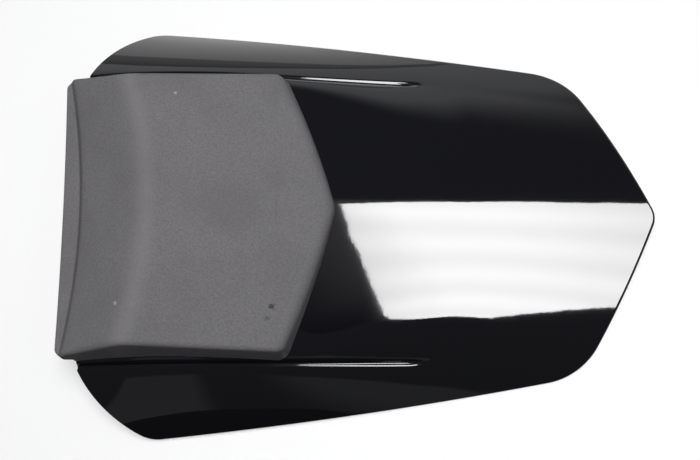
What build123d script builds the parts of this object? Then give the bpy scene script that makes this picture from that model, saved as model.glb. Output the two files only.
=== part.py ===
from build123d import *
import os
from math import asin, atan, atan2, cos, radians, sin, sqrt, tan

# A one-person seat cowl for the tail of a motorbike, in millimetres.
# The tail points along +X, the sides are +Y and -Y, and the rim of the shell lies on Z = 0.

# Plan of the cowl, seen from above
cowl_length = 330.0  # front edge of the pad's lip to the tail tip
wing_span = 240.4  # across the two wing corners, before they are rounded
wing_setback = 43.0  # wing corners behind the front edge
tail_corner_setback = 45.5  # tail corners in front of the tail tip
tail_corner_span = 178.4  # across the tail corners, before they are rounded
side_bow = 2.7  # bulge of each long side
tail_bow = 1.0  # bulge of each tail edge
wing_front_bow = 4.4  # bulge of each wing's front edge
wing_root = 2.0  # a wing's front edge begins this far outside the groove
front_bow = 2.5  # hollow of the front edge
wing_corner_radius = 18.0
tail_corner_radius = 40.0
tail_tip_radius = 12.0
lip_overhang = 9.0  # the pad's lip in front of the shell

# Side view of the shell
tail_height = 14.0  # top of the skin at the tail tip
deck_slope = radians(9.5)  # fall of the skin from the ridge to the tail
ridge_setback = 50.0  # ridge of the hump behind the front edge
front_slope = radians(25.0)  # fall of the skin from the ridge to the front
ridge_softness = 3.0

# Cross-section of the shell
wall = 3.0
rim_flare = 1.6  # the skin's arch runs this far out past the outline
rim_rise = 1.6  # and ends at this height there, which leaves an upright edge along the rim
groove_span = 161.0  # across the two grooves between hump and wings
groove_fade = 133.0  # end of the grooves in front of the tail tip
groove_lift = 45.0  # how strongly the grooves rise over the plain arch of the tail
groove_lift_end = 0.82  # share of a groove's length at which it is back on that arch
groove_blend = 3.0  # reach of the soft corner at the bottom of a groove
flank_slope = radians(58.0)  # steepness of the hump above a groove
hump_full = 225.0  # the hump has its full shape from here on, in front of the tail tip
hump_fade = 105.0  # and has run out into the plain arch here
shoulder_reach = 30.0  # flat width of the hump on each side
shoulder_rise = 0.5  # share of the flank's height over which it stays straight
wing_curl = radians(11.0)  # turn of a wing's arc to each side of its chord
edge_radius = 2.0  # rounded edge of the skin along the sides and the tail
skin_pitch = 20.0  # between the cross-sections that make the skin
skin_floor = -8.0  # lower end of those cross-sections

# Foam pad over the hump
pad_ridge_thickness = 8.6
pad_tip_thickness = 6.5  # at the tip of the chevron
pad_front_span = 150.5  # across the foot of its sides
pad_rear_span = 156.0
pad_foot = 40.0  # height at which those widths are taken
pad_draft = radians(13.0)  # lean of its sides
pad_crown = 5.5  # the middle of the pad stands this far over its sides
pad_front_slope = radians(29.0)
pad_front_bow = 8.0  # hollow of the sloping front, seen from above
pad_ridge_radius = 20.0
pad_edge_radius = 4.0
chevron_tip_setback = 148.4  # tip of the chevron behind the front edge
chevron_depth = 29.0
chevron_bow = 3.0  # bulge of each half of the chevron
chevron_tip_radius = 14.0
chevron_corner_radius = 5.0
lip_height = 44.0  # top of the lip
lip_thickness = 4.0
lip_depth = 9.5  # front edge of the lip to the foot of the step behind it
lip_step_height = 4.4
lip_step_slope = radians(50.0)
lip_corner_radius = 4.0
glue_gap = 0.3

# Base pan under the hump
pan_thickness = 3.0
pan_front_level = 24.0  # underside of its front part
pan_rear_level = 9.0  # underside of its rear part
pan_front_gap = 1.2  # to the shell's front wall
pan_front_width = 140.0
pan_rear_width = 100.0
pan_joggle_setback = 140.0  # step between its two levels, behind the front edge
pan_joggle_length = 46.0
pan_tail_gap = 65.0  # its rear end in front of the tail tip
pan_corner_radius = 10.0
pan_bend_radius = 8.0
pan_rib_height = 4.0
pan_rib_width = 2.0
pan_rib_pitch = 25.0
seat_margin = 1.5  # free space round screws, bumpers and striker between the ribs
tongue_width = 30.0
tongue_length = 26.0
front_wall_foot = 18.0  # lower edge of the shell's front wall

# Screws through the pan into bosses of the shell
screw_front_setback = 33.0  # behind the front edge
screw_front_spacing = 80.0
screw_middle_setback = 117.0
screw_middle_spacing = 114.0
screw_rear_setback = 36.0  # in front of the pan's rear end
screw_rear_spacing = 52.0
boss_radius = 6.0
pilot_radius = 2.3
pilot_depth = 13.0
screw_radius = 2.2
screw_depth = 11.0
screw_head_radius = 5.0
screw_head_height = 3.2
screw_slot_length = 6.0
screw_slot_width = 1.0
screw_slot_depth = 1.6
screw_clearance = 0.4
rib_width = 1.8
rib_foot = 36.0  # lower edge of the ribs inside the hump
tail_rib_foot = 5.0
tail_rib_spacing = 28.0
tail_rib_gap = 6.0  # ribs of the tail start this far behind the pan

# Striker for the seat lock
striker_setback = 53.0  # behind the front edge
striker_length = 54.0
striker_width = 62.0
striker_thickness = 2.5
loop_rod_radius = 3.5
loop_span = 34.0  # between the middles of the legs
loop_height = 7.0  # middle of the cross bar
loop_bend_radius = 8.0
bolt_spacing_x = 38.0
bolt_spacing_y = 46.0
bolt_radius = 3.0
bolt_clearance = 0.3
bolt_flange_radius = 6.8
bolt_flange_height = 1.4
bolt_head_size = 10.0
bolt_head_height = 4.6
nut_size = 10.0
nut_height = 5.0
bolt_past_nut = 2.0
thread_gap = 0.1

# Rubber bumpers
bumper_front_setback = 73.0  # behind the front edge
bumper_front_spacing = 110.0
bumper_rear_setback = 20.0  # in front of the pan's rear end
bumper_rear_spacing = 72.0
bumper_radius = 10.0
bumper_front_height = 12.0
bumper_rear_height = 6.0
bumper_taper = 1.5
bumper_neck_radius = 4.0
bumper_neck_clearance = 0.3
bumper_barb_radius = 5.5
bumper_barb_height = 4.0

# Places that follow from the sizes above
tail_x = cowl_length / 2
front_x = -cowl_length / 2
shell_front_x = front_x + lip_overhang
wing_x = front_x + wing_setback
wing_y = wing_span / 2
wing_root_y = groove_span / 2 + wing_root
corner_x = tail_x - tail_corner_setback
corner_y = tail_corner_span / 2
ridge_x = front_x + ridge_setback
groove_fade_x = tail_x - groove_fade
hump_full_x = tail_x - hump_full
hump_fade_x = tail_x - hump_fade
pan_front_x = shell_front_x + front_bow + wall + pan_front_gap
pan_joggle_front = front_x + pan_joggle_setback
pan_joggle_rear = pan_joggle_front + pan_joggle_length
pan_rear_end = tail_x - pan_tail_gap
tongue_end = pan_rear_end + tongue_length
tail_ribs = (
    (pan_rear_end + tail_rib_gap, tail_rib_spacing),
    (pan_rear_end + tail_rib_gap, -tail_rib_spacing),
    (tongue_end + tail_rib_gap, 0.0),
)
pan_front_top = pan_front_level + pan_thickness
pan_rear_top = pan_rear_level + pan_thickness
cut_height = 2 * wing_span
join_x = groove_fade_x + 2 * skin_pitch
stations_ahead = int((groove_fade_x - shell_front_x) / skin_pitch)
stations_behind = int((tail_x - groove_fade_x) / skin_pitch) + 2
skin_stations = [groove_fade_x + i * skin_pitch for i in range(-stations_ahead, stations_behind)]
skin_stations = [shell_front_x - skin_pitch / 8] + skin_stations
stand = (Align.CENTER, Align.CENTER, Align.MIN)
hang = (Align.CENTER, Align.CENTER, Align.MAX)
both_sides = (1, -1)
screw_rows = (
    (front_x + screw_front_setback, screw_front_spacing, pan_front_top),
    (front_x + screw_middle_setback, screw_middle_spacing, pan_front_top),
    (pan_rear_end - screw_rear_setback, screw_rear_spacing, pan_rear_top),
)
screw_points = [(x, side * spacing / 2, top) for x, spacing, top in screw_rows for side in both_sides]
striker_x = front_x + striker_setback
bolt_points = [
    (striker_x + i * bolt_spacing_x / 2, j * bolt_spacing_y / 2) for i in both_sides for j in both_sides
]
bumper_rows = (
    (front_x + bumper_front_setback, bumper_front_spacing, pan_front_level, bumper_front_height),
    (pan_rear_end - bumper_rear_setback, bumper_rear_spacing, pan_rear_level, bumper_rear_height),
)
bumper_points = [
    (x, side * spacing / 2, level, height)
    for x, spacing, level, height in bumper_rows
    for side in both_sides
]
pan_levels = (
    (pan_front_level, pan_front_x, pan_joggle_front - pan_bend_radius),
    (pan_rear_level, pan_joggle_rear + pan_bend_radius, pan_rear_end),
)
pan_seats = [(x, y, top - pan_thickness, screw_head_radius) for x, y, top in screw_points]
pan_seats += [(x, y, level, bumper_radius) for x, y, level, height in bumper_points]
os.makedirs("parts", exist_ok=True)


def side_y(x):
    """Half width of the plan outline along the long sides."""
    u = (x - wing_x) / (corner_x - wing_x)
    return wing_y + (corner_y - wing_y) * u + 4 * side_bow * u * (1 - u)


def side_slope(x):
    """Slope of that half width along X."""
    u = (x - wing_x) / (corner_x - wing_x)
    return (corner_y - wing_y + 4 * side_bow * (1 - 2 * u)) / (corner_x - wing_x)


def deck(x):
    """Height of the straight line from the ridge to the tail."""
    return tail_height + (tail_x - x) * tan(deck_slope)


def soft_min(a, b, softness):
    """The lower of two heights, rounded where they cross."""
    return 0.5 * (a + b - sqrt((a - b) ** 2 + softness**2))


def mix(a, b, share):
    return a + (b - a) * share


def ramp(x, start, end):
    """Rises smoothly from 0 at start to 1 at end."""
    u = min(max((x - start) / (end - start), 0.0), 1.0)
    return u * u * (3 - 2 * u)


def crown(x):
    """Height of the skin on the centre line."""
    return soft_min(deck(x), deck(ridge_x) + (x - ridge_x) * tan(front_slope), ridge_softness)


def rim_y(x):
    return side_y(x) + rim_flare


def arch_radius(x):
    """Radius of the plain arch from rim to rim."""
    height = deck(x) - rim_rise
    return (rim_y(x) ** 2 + height**2) / (2 * height)


def groove(x):
    """Bottom of the groove; behind the end of the groove it is just a point on the arch."""
    y = groove_span / 2 * min(side_y(x) / side_y(groove_fade_x), 1.0)
    u = max((groove_fade_x - x) / (groove_fade_x - shell_front_x), 0.0)
    lift = groove_lift * u**2 * (1 - u / groove_lift_end)
    return Vector(y, deck(x) - arch_radius(x) + sqrt(arch_radius(x) ** 2 - y**2) + lift)


def skin_half(x, shift):
    """Curve points of the skin's half section at x, moved out along its normals by shift."""
    valley = groove(x)
    fade = ramp(x, hump_fade_x, hump_full_x)
    fall = asin(valley.X / arch_radius(x))
    flank = mix(fall, flank_slope, fade)
    chord = atan2(valley.Y - rim_rise, rim_y(x) - valley.X)
    curl = mix((asin(rim_y(x) / arch_radius(x)) - fall) / 2, wing_curl, fade)
    wing_top, wing_foot = chord - curl, chord + curl
    up = Vector(-cos(flank), sin(flank))
    out = Vector(cos(wing_top), -sin(wing_top))
    normals = Vector(sin(flank), cos(flank)) + Vector(sin(wing_top), cos(wing_top))
    valley += normals * (shift / (1 + cos(flank - wing_top)))
    top = Vector(0, crown(x) + shift)
    rise_share = mix(4 / 3 * tan(fall / 4) / tan(fall / 2), shoulder_rise, fade)
    reach = rise_share * (top.Y - valley.Y) / sin(flank)
    flat = mix(4 / 3 * tan(fall / 4) * (arch_radius(x) + shift), shoulder_reach, fade)
    blend = min(groove_blend - shift * tan((flank - wing_top) / 2), reach / 2)
    hump_end = valley + up * blend
    wing_start = valley + out * blend
    rim = Vector(rim_y(x) + shift * sin(wing_foot), rim_rise + shift * cos(wing_foot))
    third = (rim - wing_start).length / 3
    rim_pull = rim + Vector(-cos(wing_foot), sin(wing_foot)) * third
    hump = (top, top + Vector(flat, 0), valley + up * reach, hump_end)
    wing = (wing_start, wing_start + out * third, rim_pull, rim)
    return hump, (hump_end, valley, wing_start), wing


def skin_curves(x, shift, floor):
    """Curves round the closed cross-section under the skin, down to floor."""
    half = [[(point.X, point.Y) for point in curve] for curve in skin_half(x, shift)]
    rim = half[-1][-1]
    half += [[rim, (rim[0], floor)], [(rim[0], floor), (0, floor)]]
    return half + [[(-y, z) for y, z in reversed(curve)] for curve in reversed(half)]


def skin_face(x, shift, floor):
    """That cross-section as a face, without a sketch, which would join its curves into one."""
    section = Plane.YZ.offset(x)
    edges = []
    for curve in skin_curves(x, shift, floor):
        edges.append(Bezier(*[section.from_local_coords(point) for point in curve]))
    return Face(Wire(edges))


def rim_edges(builder):
    """Edges between the skin and the upright sides."""
    skin = [face for face in builder.faces().filter_by(GeomType.BSPLINE) if face.normal_at().Z > 0.3]
    return [edge for face in skin for edge in face.edges() if on_outline(edge)]


def on_outline(edge):
    """Whether an edge runs along the long sides or the tail."""
    middle = edge @ 0.5
    if middle.X < corner_x - tail_corner_radius:
        return abs(abs(middle.Y) - side_y(middle.X)) < 0.2
    return not outline_core.face().is_inside(Vector(middle.X, middle.Y, 0))


def corner(sketch, x, y):
    """The sketch's corner at a place and its mirror image."""
    return [v for v in sketch.vertices() if abs(v.X - x) < 0.5 and abs(abs(v.Y) - y) < 0.5]


# Plan outline of the long sides and the pointed tail
tail_chord = atan2(corner_y, tail_corner_setback)
tail_half_angle = tail_chord + 2 * atan(2 * tail_bow * sin(tail_chord) / corner_y)
tip_x = tail_x + tail_tip_radius * (1 / sin(tail_half_angle) - 1)
start_x = front_x - lip_overhang


def plan_outline(inset):
    """The outline moved in by inset."""
    side_in = Vector(side_slope(corner_x), -1).normalized()
    tail_in = Vector(-corner_y, corner_x - tip_x).normalized()
    turn = Vector(corner_x, corner_y) + (side_in + tail_in) * (inset / (1 + side_in.dot(tail_in)))
    start_y = side_y(start_x) - inset
    pull_y = start_y + side_slope(start_x) * (turn.X - start_x) / 2
    tip = (tip_x - inset / sin(tail_half_angle), 0)
    with BuildSketch() as plan:
        with BuildLine():
            for side in both_sides:
                tail_corner = (turn.X, side * turn.Y)
                Bezier((start_x, side * start_y), ((start_x + turn.X) / 2, side * pull_y), tail_corner)
                SagittaArc(tail_corner, tip, side * tail_bow)
            Line((start_x, start_y), (start_x, -start_y))
        make_face()
        fillet(corner(plan, *tip), tail_tip_radius - inset)
        fillet(corner(plan, turn.X, turn.Y), tail_corner_radius - inset)
    return plan.sketch


outline = plan_outline(0.0)
outline_core = plan_outline(edge_radius)

# Plan of what is cut off in front of the shell and its wings
with BuildSketch() as front_cut:
    with BuildLine():
        for side in both_sides:
            wing_corner = (wing_x, side * wing_y)
            SagittaArc(wing_corner, (shell_front_x, side * wing_root_y), -side * wing_front_bow)
            far_y = side * wing_span
            Polyline(wing_corner, (0, side * wing_y), (0, far_y), (2 * front_x, far_y))
        SagittaArc((shell_front_x, wing_root_y), (shell_front_x, -wing_root_y), front_bow)
        Line((2 * front_x, wing_span), (2 * front_x, -wing_span))
    make_face()
    fillet(corner(front_cut, wing_x, wing_y), wing_corner_radius)

# Everything under the skin and inside the outline, in two lengths that meet where it is a plain arch
with BuildPart() as front_body:
    loft([skin_face(x, 0.0, skin_floor) for x in skin_stations if x < join_x + 2 * skin_pitch])
    split(bisect_by=Plane.YZ.offset(join_x), keep=Keep.BOTTOM)
    with BuildSketch():
        add(outline)
    extrude(amount=cut_height, mode=Mode.INTERSECT)
    fillet(rim_edges(front_body), edge_radius)

with BuildPart() as rear_body:
    for x in [x for x in skin_stations if x > join_x - 2 * skin_pitch]:
        with BuildSketch(Plane.YZ.offset(x)):
            with BuildLine():
                for curve in skin_curves(x, 0.0, skin_floor):
                    Bezier(*curve)
            make_face()
    loft()
    split(bisect_by=Plane.YZ.offset(join_x), keep=Keep.TOP)
    with BuildSketch():
        add(outline)
    extrude(amount=cut_height, mode=Mode.INTERSECT)
    fillet(rim_edges(rear_body), edge_radius)

# The inside of the shell
with BuildPart() as core:
    loft([skin_face(x, -wall, 2 * skin_floor) for x in skin_stations])
    with BuildSketch(Plane.XY.offset(skin_floor)):
        add(plan_outline(wall))
    extrude(amount=cut_height, mode=Mode.INTERSECT)
    # the hump has a front wall, the wings are open at their front edges
    with BuildSketch(Plane.XY.offset(skin_floor)):
        with BuildLine():
            inner_front = shell_front_x + wall
            half = groove_span / 2 - wall
            SagittaArc((inner_front, half), (inner_front, -half), front_bow)
            Polyline((inner_front, half), (start_x, half), (start_x, -half), (inner_front, -half))
        make_face()
    extrude(amount=cut_height, mode=Mode.SUBTRACT)
    # bosses and ribs are left standing where the core is cut away
    for x, y, level in screw_points:
        with Locations((x, y, level)):
            Cylinder(boss_radius, cut_height, align=stand, mode=Mode.SUBTRACT)
    for x, y, level in screw_points[:4]:
        with Locations((x, 0, rib_foot)):
            Box(rib_width, 2 * abs(y), cut_height, align=stand, mode=Mode.SUBTRACT)
    for start, y in tail_ribs:
        with Locations((start + tail_x, y, tail_rib_foot)):
            Box(2 * tail_x, rib_width, cut_height, align=stand, mode=Mode.SUBTRACT)

with BuildPart() as shell:
    add(front_body.part)
    add(rear_body.part)
    add(core.part, mode=Mode.SUBTRACT)
    with BuildSketch():
        add(front_cut.sketch)
    extrude(amount=cut_height, mode=Mode.SUBTRACT)
    with Locations((shell_front_x, 0, 0)):
        Box(4 * (front_bow + wall), groove_span, front_wall_foot, align=stand, mode=Mode.SUBTRACT)
    for x, y, level in screw_points:
        with Locations((x, y, level)):
            Cylinder(pilot_radius, pilot_depth, align=stand, mode=Mode.SUBTRACT)
shell.part.label = "cowl_shell"
export_step(shell.part, "parts/cowl_shell.step")


# Foam pad: a crowned block with leaning sides and a hollow sloping front, with the skin taken out of it
chevron_x = front_x + chevron_tip_setback
chevron_corner_x = chevron_x - chevron_depth
step_x = front_x + lip_depth
slope_x = step_x + lip_step_height * (1 / tan(lip_step_slope) - 1 / tan(pad_front_slope))


def pad_top(x):
    """Height of the pad on the centre line behind the ridge."""
    tip_share = (x - ridge_x) / (chevron_x - ridge_x)
    return mix(deck(ridge_x) + pad_ridge_thickness, deck(chevron_x) + pad_tip_thickness, tip_share)


def pad_side(x, z):
    """Half width of the pad."""
    half = mix(pad_front_span, pad_rear_span, (x - front_x) / (chevron_corner_x - front_x)) / 2
    return half - (z - pad_foot) * tan(pad_draft)


def runs_across(edge):
    """Whether an edge runs from side to side of the pad in front of the chevron."""
    return abs(edge.center().Y) < 1 and edge.center().X < chevron_corner_x


def ahead_of(x):
    """Face at the lip's height in front of a line across the pad that is as hollow as its front."""
    half = pad_front_span
    side_x = x - pad_front_bow * (2 * half / pad_front_span) ** 2
    far_x = side_x + 2 * front_x
    with BuildSketch(Plane.XY.offset(lip_height)) as ahead:
        with BuildLine():
            Bezier((side_x, half), (2 * x - side_x, 0), (side_x, -half))
            Polyline((side_x, half), (far_x, half), (far_x, -half), (side_x, -half))
        make_face()
    return ahead.sketch


with BuildPart() as hump:
    loft([skin_face(x, glue_gap, skin_floor) for x in skin_stations if x < join_x])

with BuildPart() as pad:
    for x in (front_x - 2 * lip_overhang, chevron_x + lip_overhang):
        edge_z = pad_top(x) - pad_crown
        edge_y = pad_side(x, edge_z)
        foot_y = pad_side(x, 0)
        with BuildSketch(Plane.YZ.offset(x)):
            with BuildLine():
                Bezier((-edge_y, edge_z), (0, edge_z + 2 * pad_crown), (edge_y, edge_z))
                Polyline((edge_y, edge_z), (foot_y, 0), (-foot_y, 0), (-edge_y, edge_z))
            make_face()
    loft(ruled=True)
    fall = (cos(pad_front_slope), 0, sin(pad_front_slope))
    extrude(ahead_of(slope_x), amount=cut_height, dir=fall, both=True, mode=Mode.SUBTRACT)
    fillet(max(filter(runs_across, pad.edges()), key=lambda edge: edge.center().Z), pad_ridge_radius)
    # the chevron, run on past the sides of the pad
    with BuildSketch() as chevron:
        with BuildLine():
            past = 1.3
            end_x = chevron_x - past * (chevron_depth + 4 * chevron_bow * (past - 1))
            pull_x = chevron_x - past / 2 * (chevron_depth - 4 * chevron_bow)
            half = pad_rear_span / 2
            for side in both_sides:
                end = (end_x, side * past * half)
                Bezier((chevron_x, 0), (pull_x, side * past / 2 * half), end)
                Line(end, (2 * front_x, side * past * half))
            Line((2 * front_x, past * half), (2 * front_x, -past * half))
        make_face()
        fillet(corner(chevron, chevron_x, 0), chevron_tip_radius)
    extrude(amount=cut_height, mode=Mode.INTERSECT)
    tall = [edge for edge in pad.edges() if abs((edge @ 0).Z - (edge @ 1).Z) > pad_foot]
    at_corner = [edge for edge in tall if abs(edge.center().X - chevron_corner_x) < chevron_depth / 2]
    fillet(at_corner, chevron_corner_radius)
    upper = [face for face in pad.faces() if face.normal_at().Z > 0.5]
    rim = [edge for face in upper for edge in face.edges() if not runs_across(edge)]
    fillet(rim, pad_edge_radius)
    # the step in front of the slope, and the lip
    step = (cos(lip_step_slope), 0, sin(lip_step_slope))
    extrude(ahead_of(step_x), amount=cut_height, dir=step, mode=Mode.SUBTRACT)
    extrude(ahead_of(step_x), amount=-cut_height, mode=Mode.SUBTRACT)
    with BuildSketch(Plane.XY.offset(lip_height - lip_thickness)) as lip:
        with BuildLine():
            half = pad_side(front_x, lip_height)
            SagittaArc((front_x, half), (front_x, -half), front_bow)
            lip_back = step_x + lip_thickness
            Polyline((front_x, half), (lip_back, half), (lip_back, -half), (front_x, -half))
        make_face()
        fillet(corner(lip, front_x, half), lip_corner_radius)
    extrude(amount=lip_thickness)
    with BuildSketch():
        add(front_cut.sketch)
    extrude(amount=lip_height - lip_thickness, mode=Mode.SUBTRACT)
    add(hump.part, mode=Mode.SUBTRACT)
pad.part.label = "bum_stop_pad"
export_step(pad.part, "parts/bum_stop_pad.step")

# Base pan: a joggled plate with ribs underneath and a tongue at the rear
with BuildSketch() as pan_plan:
    with BuildLine():
        for side in both_sides:
            front_half = side * pan_front_width / 2
            rear_half = side * pan_rear_width / 2
            Polyline((pan_front_x, front_half), (pan_joggle_front, front_half), (pan_rear_end, rear_half))
        Line((pan_front_x, pan_front_width / 2), (pan_front_x, -pan_front_width / 2))
        Line((pan_rear_end, pan_rear_width / 2), (pan_rear_end, -pan_rear_width / 2))
    make_face()
    fillet(corner(pan_plan, pan_front_x, pan_front_width / 2), pan_corner_radius)
    fillet(corner(pan_plan, pan_rear_end, pan_rear_width / 2), pan_corner_radius)

with BuildSketch() as rim_frame:
    add(pan_plan.sketch)
    offset(amount=-pan_rib_width, mode=Mode.SUBTRACT)

with BuildPart() as pan:
    with BuildSketch(Plane.XZ) as joggle:
        with BuildLine():
            upper = [(pan_front_x, pan_front_top), (pan_joggle_front, pan_front_top),
                     (pan_joggle_rear, pan_rear_top), (tongue_end, pan_rear_top)]
            lower = [(x, z - pan_thickness) for x, z in reversed(upper)]
            Polyline(*upper, *lower, close=True)
        make_face()
        fillet([v for v in joggle.vertices() if pan_front_x < v.X < pan_rear_end], pan_bend_radius)
    extrude(amount=wing_span, both=True)
    with BuildSketch() as pan_shape:
        add(pan_plan.sketch)
        with Locations((pan_rear_end, 0)):
            Rectangle(2 * tongue_length, tongue_width)
        fillet(corner(pan_shape, tongue_end, tongue_width / 2), tongue_width / 5)
    extrude(amount=cut_height, mode=Mode.INTERSECT)
    # ribs under the two level parts: a rim and a lattice
    for level, start, end in pan_levels:
        with BuildSketch(Plane.XY.offset(level - pan_rib_height)) as ribs:
            for i in range(-2, 3):
                with Locations((0, i * pan_rib_pitch)):
                    Rectangle(2 * cowl_length, pan_rib_width)
            for i in range(1, int((end - start) / pan_rib_pitch) + 1):
                with Locations((start + i * pan_rib_pitch, 0)):
                    Rectangle(pan_rib_width, wing_span)
            add(rim_frame.sketch)
            add(pan_plan.sketch, mode=Mode.INTERSECT)
            with Locations(((start + end) / 2, 0)):
                Rectangle(end - start, wing_span, mode=Mode.INTERSECT)
            for x, y, seat_level, radius in pan_seats:
                if seat_level == level:
                    with Locations((x, y)):
                        Circle(radius + seat_margin, mode=Mode.SUBTRACT)
            if level == pan_front_level:
                with Locations((striker_x, 0)):
                    seat = (striker_length + 2 * seat_margin, striker_width + 2 * seat_margin)
                    Rectangle(*seat, mode=Mode.SUBTRACT)
        extrude(amount=pan_rib_height)
    for x, y, top_level in screw_points:
        with Locations((x, y, 0)):
            Cylinder(screw_radius + screw_clearance, cut_height, mode=Mode.SUBTRACT)
    for x, y in bolt_points:
        with Locations((x, y, 0)):
            Cylinder(bolt_radius + bolt_clearance, cut_height, mode=Mode.SUBTRACT)
    for x, y, level, height in bumper_points:
        with Locations((x, y, 0)):
            Cylinder(bumper_neck_radius + bumper_neck_clearance, cut_height, mode=Mode.SUBTRACT)
pan.part.label = "base_pan"
export_step(pan.part, "parts/base_pan.step")

# Screws from below through the pan into the shell's bosses
with BuildPart() as screws:
    for x, y, top_level in screw_points:
        under = top_level - pan_thickness
        with Locations((x, y, under - screw_head_height)):
            Cylinder(screw_head_radius, screw_head_height, align=stand)
            Cylinder(screw_radius, screw_head_height + pan_thickness + screw_depth, align=stand)
            for turn in (0, 90):
                slot = (screw_slot_length, screw_slot_width, screw_slot_depth)
                Box(*slot, rotation=(0, 0, turn), align=stand, mode=Mode.SUBTRACT)
screws.part.label = "pan_screws"
export_step(screws.part, "parts/pan_screws.step")

# Striker: a plate with a rod bent into a loop welded under it
plate_under = pan_front_level - striker_thickness
with BuildPart() as striker:
    with BuildSketch(Plane.XY.offset(plate_under)) as plate:
        with Locations((striker_x, 0)):
            RectangleRounded(striker_length, striker_width, bolt_flange_radius)
        with Locations(*[(x, y) for x, y in bolt_points]):
            Circle(bolt_radius + bolt_clearance, mode=Mode.SUBTRACT)
    extrude(amount=striker_thickness)
    with BuildLine(Plane.YZ.offset(striker_x)) as rod:
        leg = loop_span / 2
        top_end = plate_under + striker_thickness / 2
        FilletPolyline((-leg, top_end), (-leg, loop_height), (leg, loop_height), (leg, top_end),
                       radius=loop_bend_radius)
    with BuildSketch(Plane((striker_x, -leg, top_end), x_dir=(1, 0, 0), z_dir=(0, 0, -1))):
        Circle(loop_rod_radius)
    sweep(path=rod.wires()[0])
striker.part.label = "latch_striker"
export_step(striker.part, "parts/latch_striker.step")

with BuildPart() as bolts:
    for x, y in bolt_points:
        with Locations((x, y, plate_under)):
            Cylinder(bolt_flange_radius, bolt_flange_height, align=hang)
            shank = striker_thickness + pan_thickness + nut_height + bolt_past_nut
            Cylinder(bolt_radius, shank, align=stand)
        with BuildSketch(Plane.XY.offset(plate_under - bolt_flange_height)):
            with Locations((x, y)):
                RegularPolygon(bolt_head_size / 2, 6, major_radius=False)
        extrude(amount=-bolt_head_height)
bolts.part.label = "striker_bolts"
export_step(bolts.part, "parts/striker_bolts.step")

with BuildPart() as nuts:
    with BuildSketch(Plane.XY.offset(pan_front_top)):
        with Locations(*[(x, y) for x, y in bolt_points]):
            RegularPolygon(nut_size / 2, 6, major_radius=False)
            Circle(bolt_radius + thread_gap, mode=Mode.SUBTRACT)
    extrude(amount=nut_height)
nuts.part.label = "striker_nuts"
export_step(nuts.part, "parts/striker_nuts.step")

# Bumpers: a foot under the pan, a neck through it and a barb on top
with BuildPart() as bumpers:
    for x, y, level, height in bumper_points:
        with BuildSketch(Plane.XZ.offset(-y)):
            with BuildLine():
                top_level = level + pan_thickness
                Polyline(
                    (x, level - height),
                    (x + bumper_radius - bumper_taper, level - height),
                    (x + bumper_radius, level),
                    (x + bumper_neck_radius, level),
                    (x + bumper_neck_radius, top_level),
                    (x + bumper_barb_radius, top_level),
                    (x + bumper_neck_radius / 2, top_level + bumper_barb_height),
                    (x, top_level + bumper_barb_height),
                    close=True,
                )
            make_face()
        revolve(axis=Axis((x, y, 0), (0, 0, 1)))
bumpers.part.label = "rubber_bumpers"
export_step(bumpers.part, "parts/rubber_bumpers.step")
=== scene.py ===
"""Seat cowl for the tail of a motorbike, dressed over its CAD frame."""
from math import asin, atan, atan2, cos, pi, radians, sin, sqrt, tan

import bmesh
import bpy
import numpy as np
from bpy.props import FloatProperty, FloatVectorProperty, IntProperty, PointerProperty
from bpy.types import Operator, Panel, PropertyGroup
from mathutils import Matrix, Vector


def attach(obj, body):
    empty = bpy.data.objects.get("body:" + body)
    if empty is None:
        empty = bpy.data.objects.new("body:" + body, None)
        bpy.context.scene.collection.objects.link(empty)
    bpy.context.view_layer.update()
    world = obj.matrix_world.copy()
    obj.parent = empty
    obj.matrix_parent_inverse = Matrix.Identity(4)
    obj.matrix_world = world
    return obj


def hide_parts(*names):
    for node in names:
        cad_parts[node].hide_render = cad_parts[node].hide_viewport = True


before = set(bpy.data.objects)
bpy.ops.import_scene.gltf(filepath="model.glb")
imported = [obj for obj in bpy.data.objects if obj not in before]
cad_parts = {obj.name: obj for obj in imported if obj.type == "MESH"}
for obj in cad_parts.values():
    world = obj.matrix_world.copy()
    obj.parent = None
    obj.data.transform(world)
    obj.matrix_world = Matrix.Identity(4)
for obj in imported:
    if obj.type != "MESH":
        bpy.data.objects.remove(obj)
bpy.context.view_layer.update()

bl_info = {
    "name": "Seat cowl",
    "version": (1, 0, 0),
    "blender": (4, 5, 0),
    "location": "3D View > Sidebar > Seat cowl",
    "description": "Builds a motorbike seat cowl with its foam pad, base and fittings",
    "category": "Object",
}


def length(name, millimetres, description):
    """A size in the panel, given in millimetres and kept in metres."""
    return FloatProperty(
        name=name, description=description, default=millimetres / 1000, unit="LENGTH", subtype="DISTANCE", precision=5
    )


def angle(name, degrees, description):
    """An angle in the panel, given in degrees and kept in radians."""
    return FloatProperty(
        name=name, description=description, default=radians(degrees), unit="ROTATION", subtype="ANGLE"
    )


def share(name, value, description):
    return FloatProperty(
        name=name, description=description, default=value, min=0.0, max=1.0, subtype="FACTOR", precision=3
    )


def number(name, value, description, subtype="NONE"):
    return FloatProperty(name=name, description=description, default=value, subtype=subtype, precision=3)


def colour(name, red, green, blue, description):
    return FloatVectorProperty(
        name=name, description=description, default=(red, green, blue), size=3, min=0.0, max=1.0, subtype="COLOR"
    )


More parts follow.
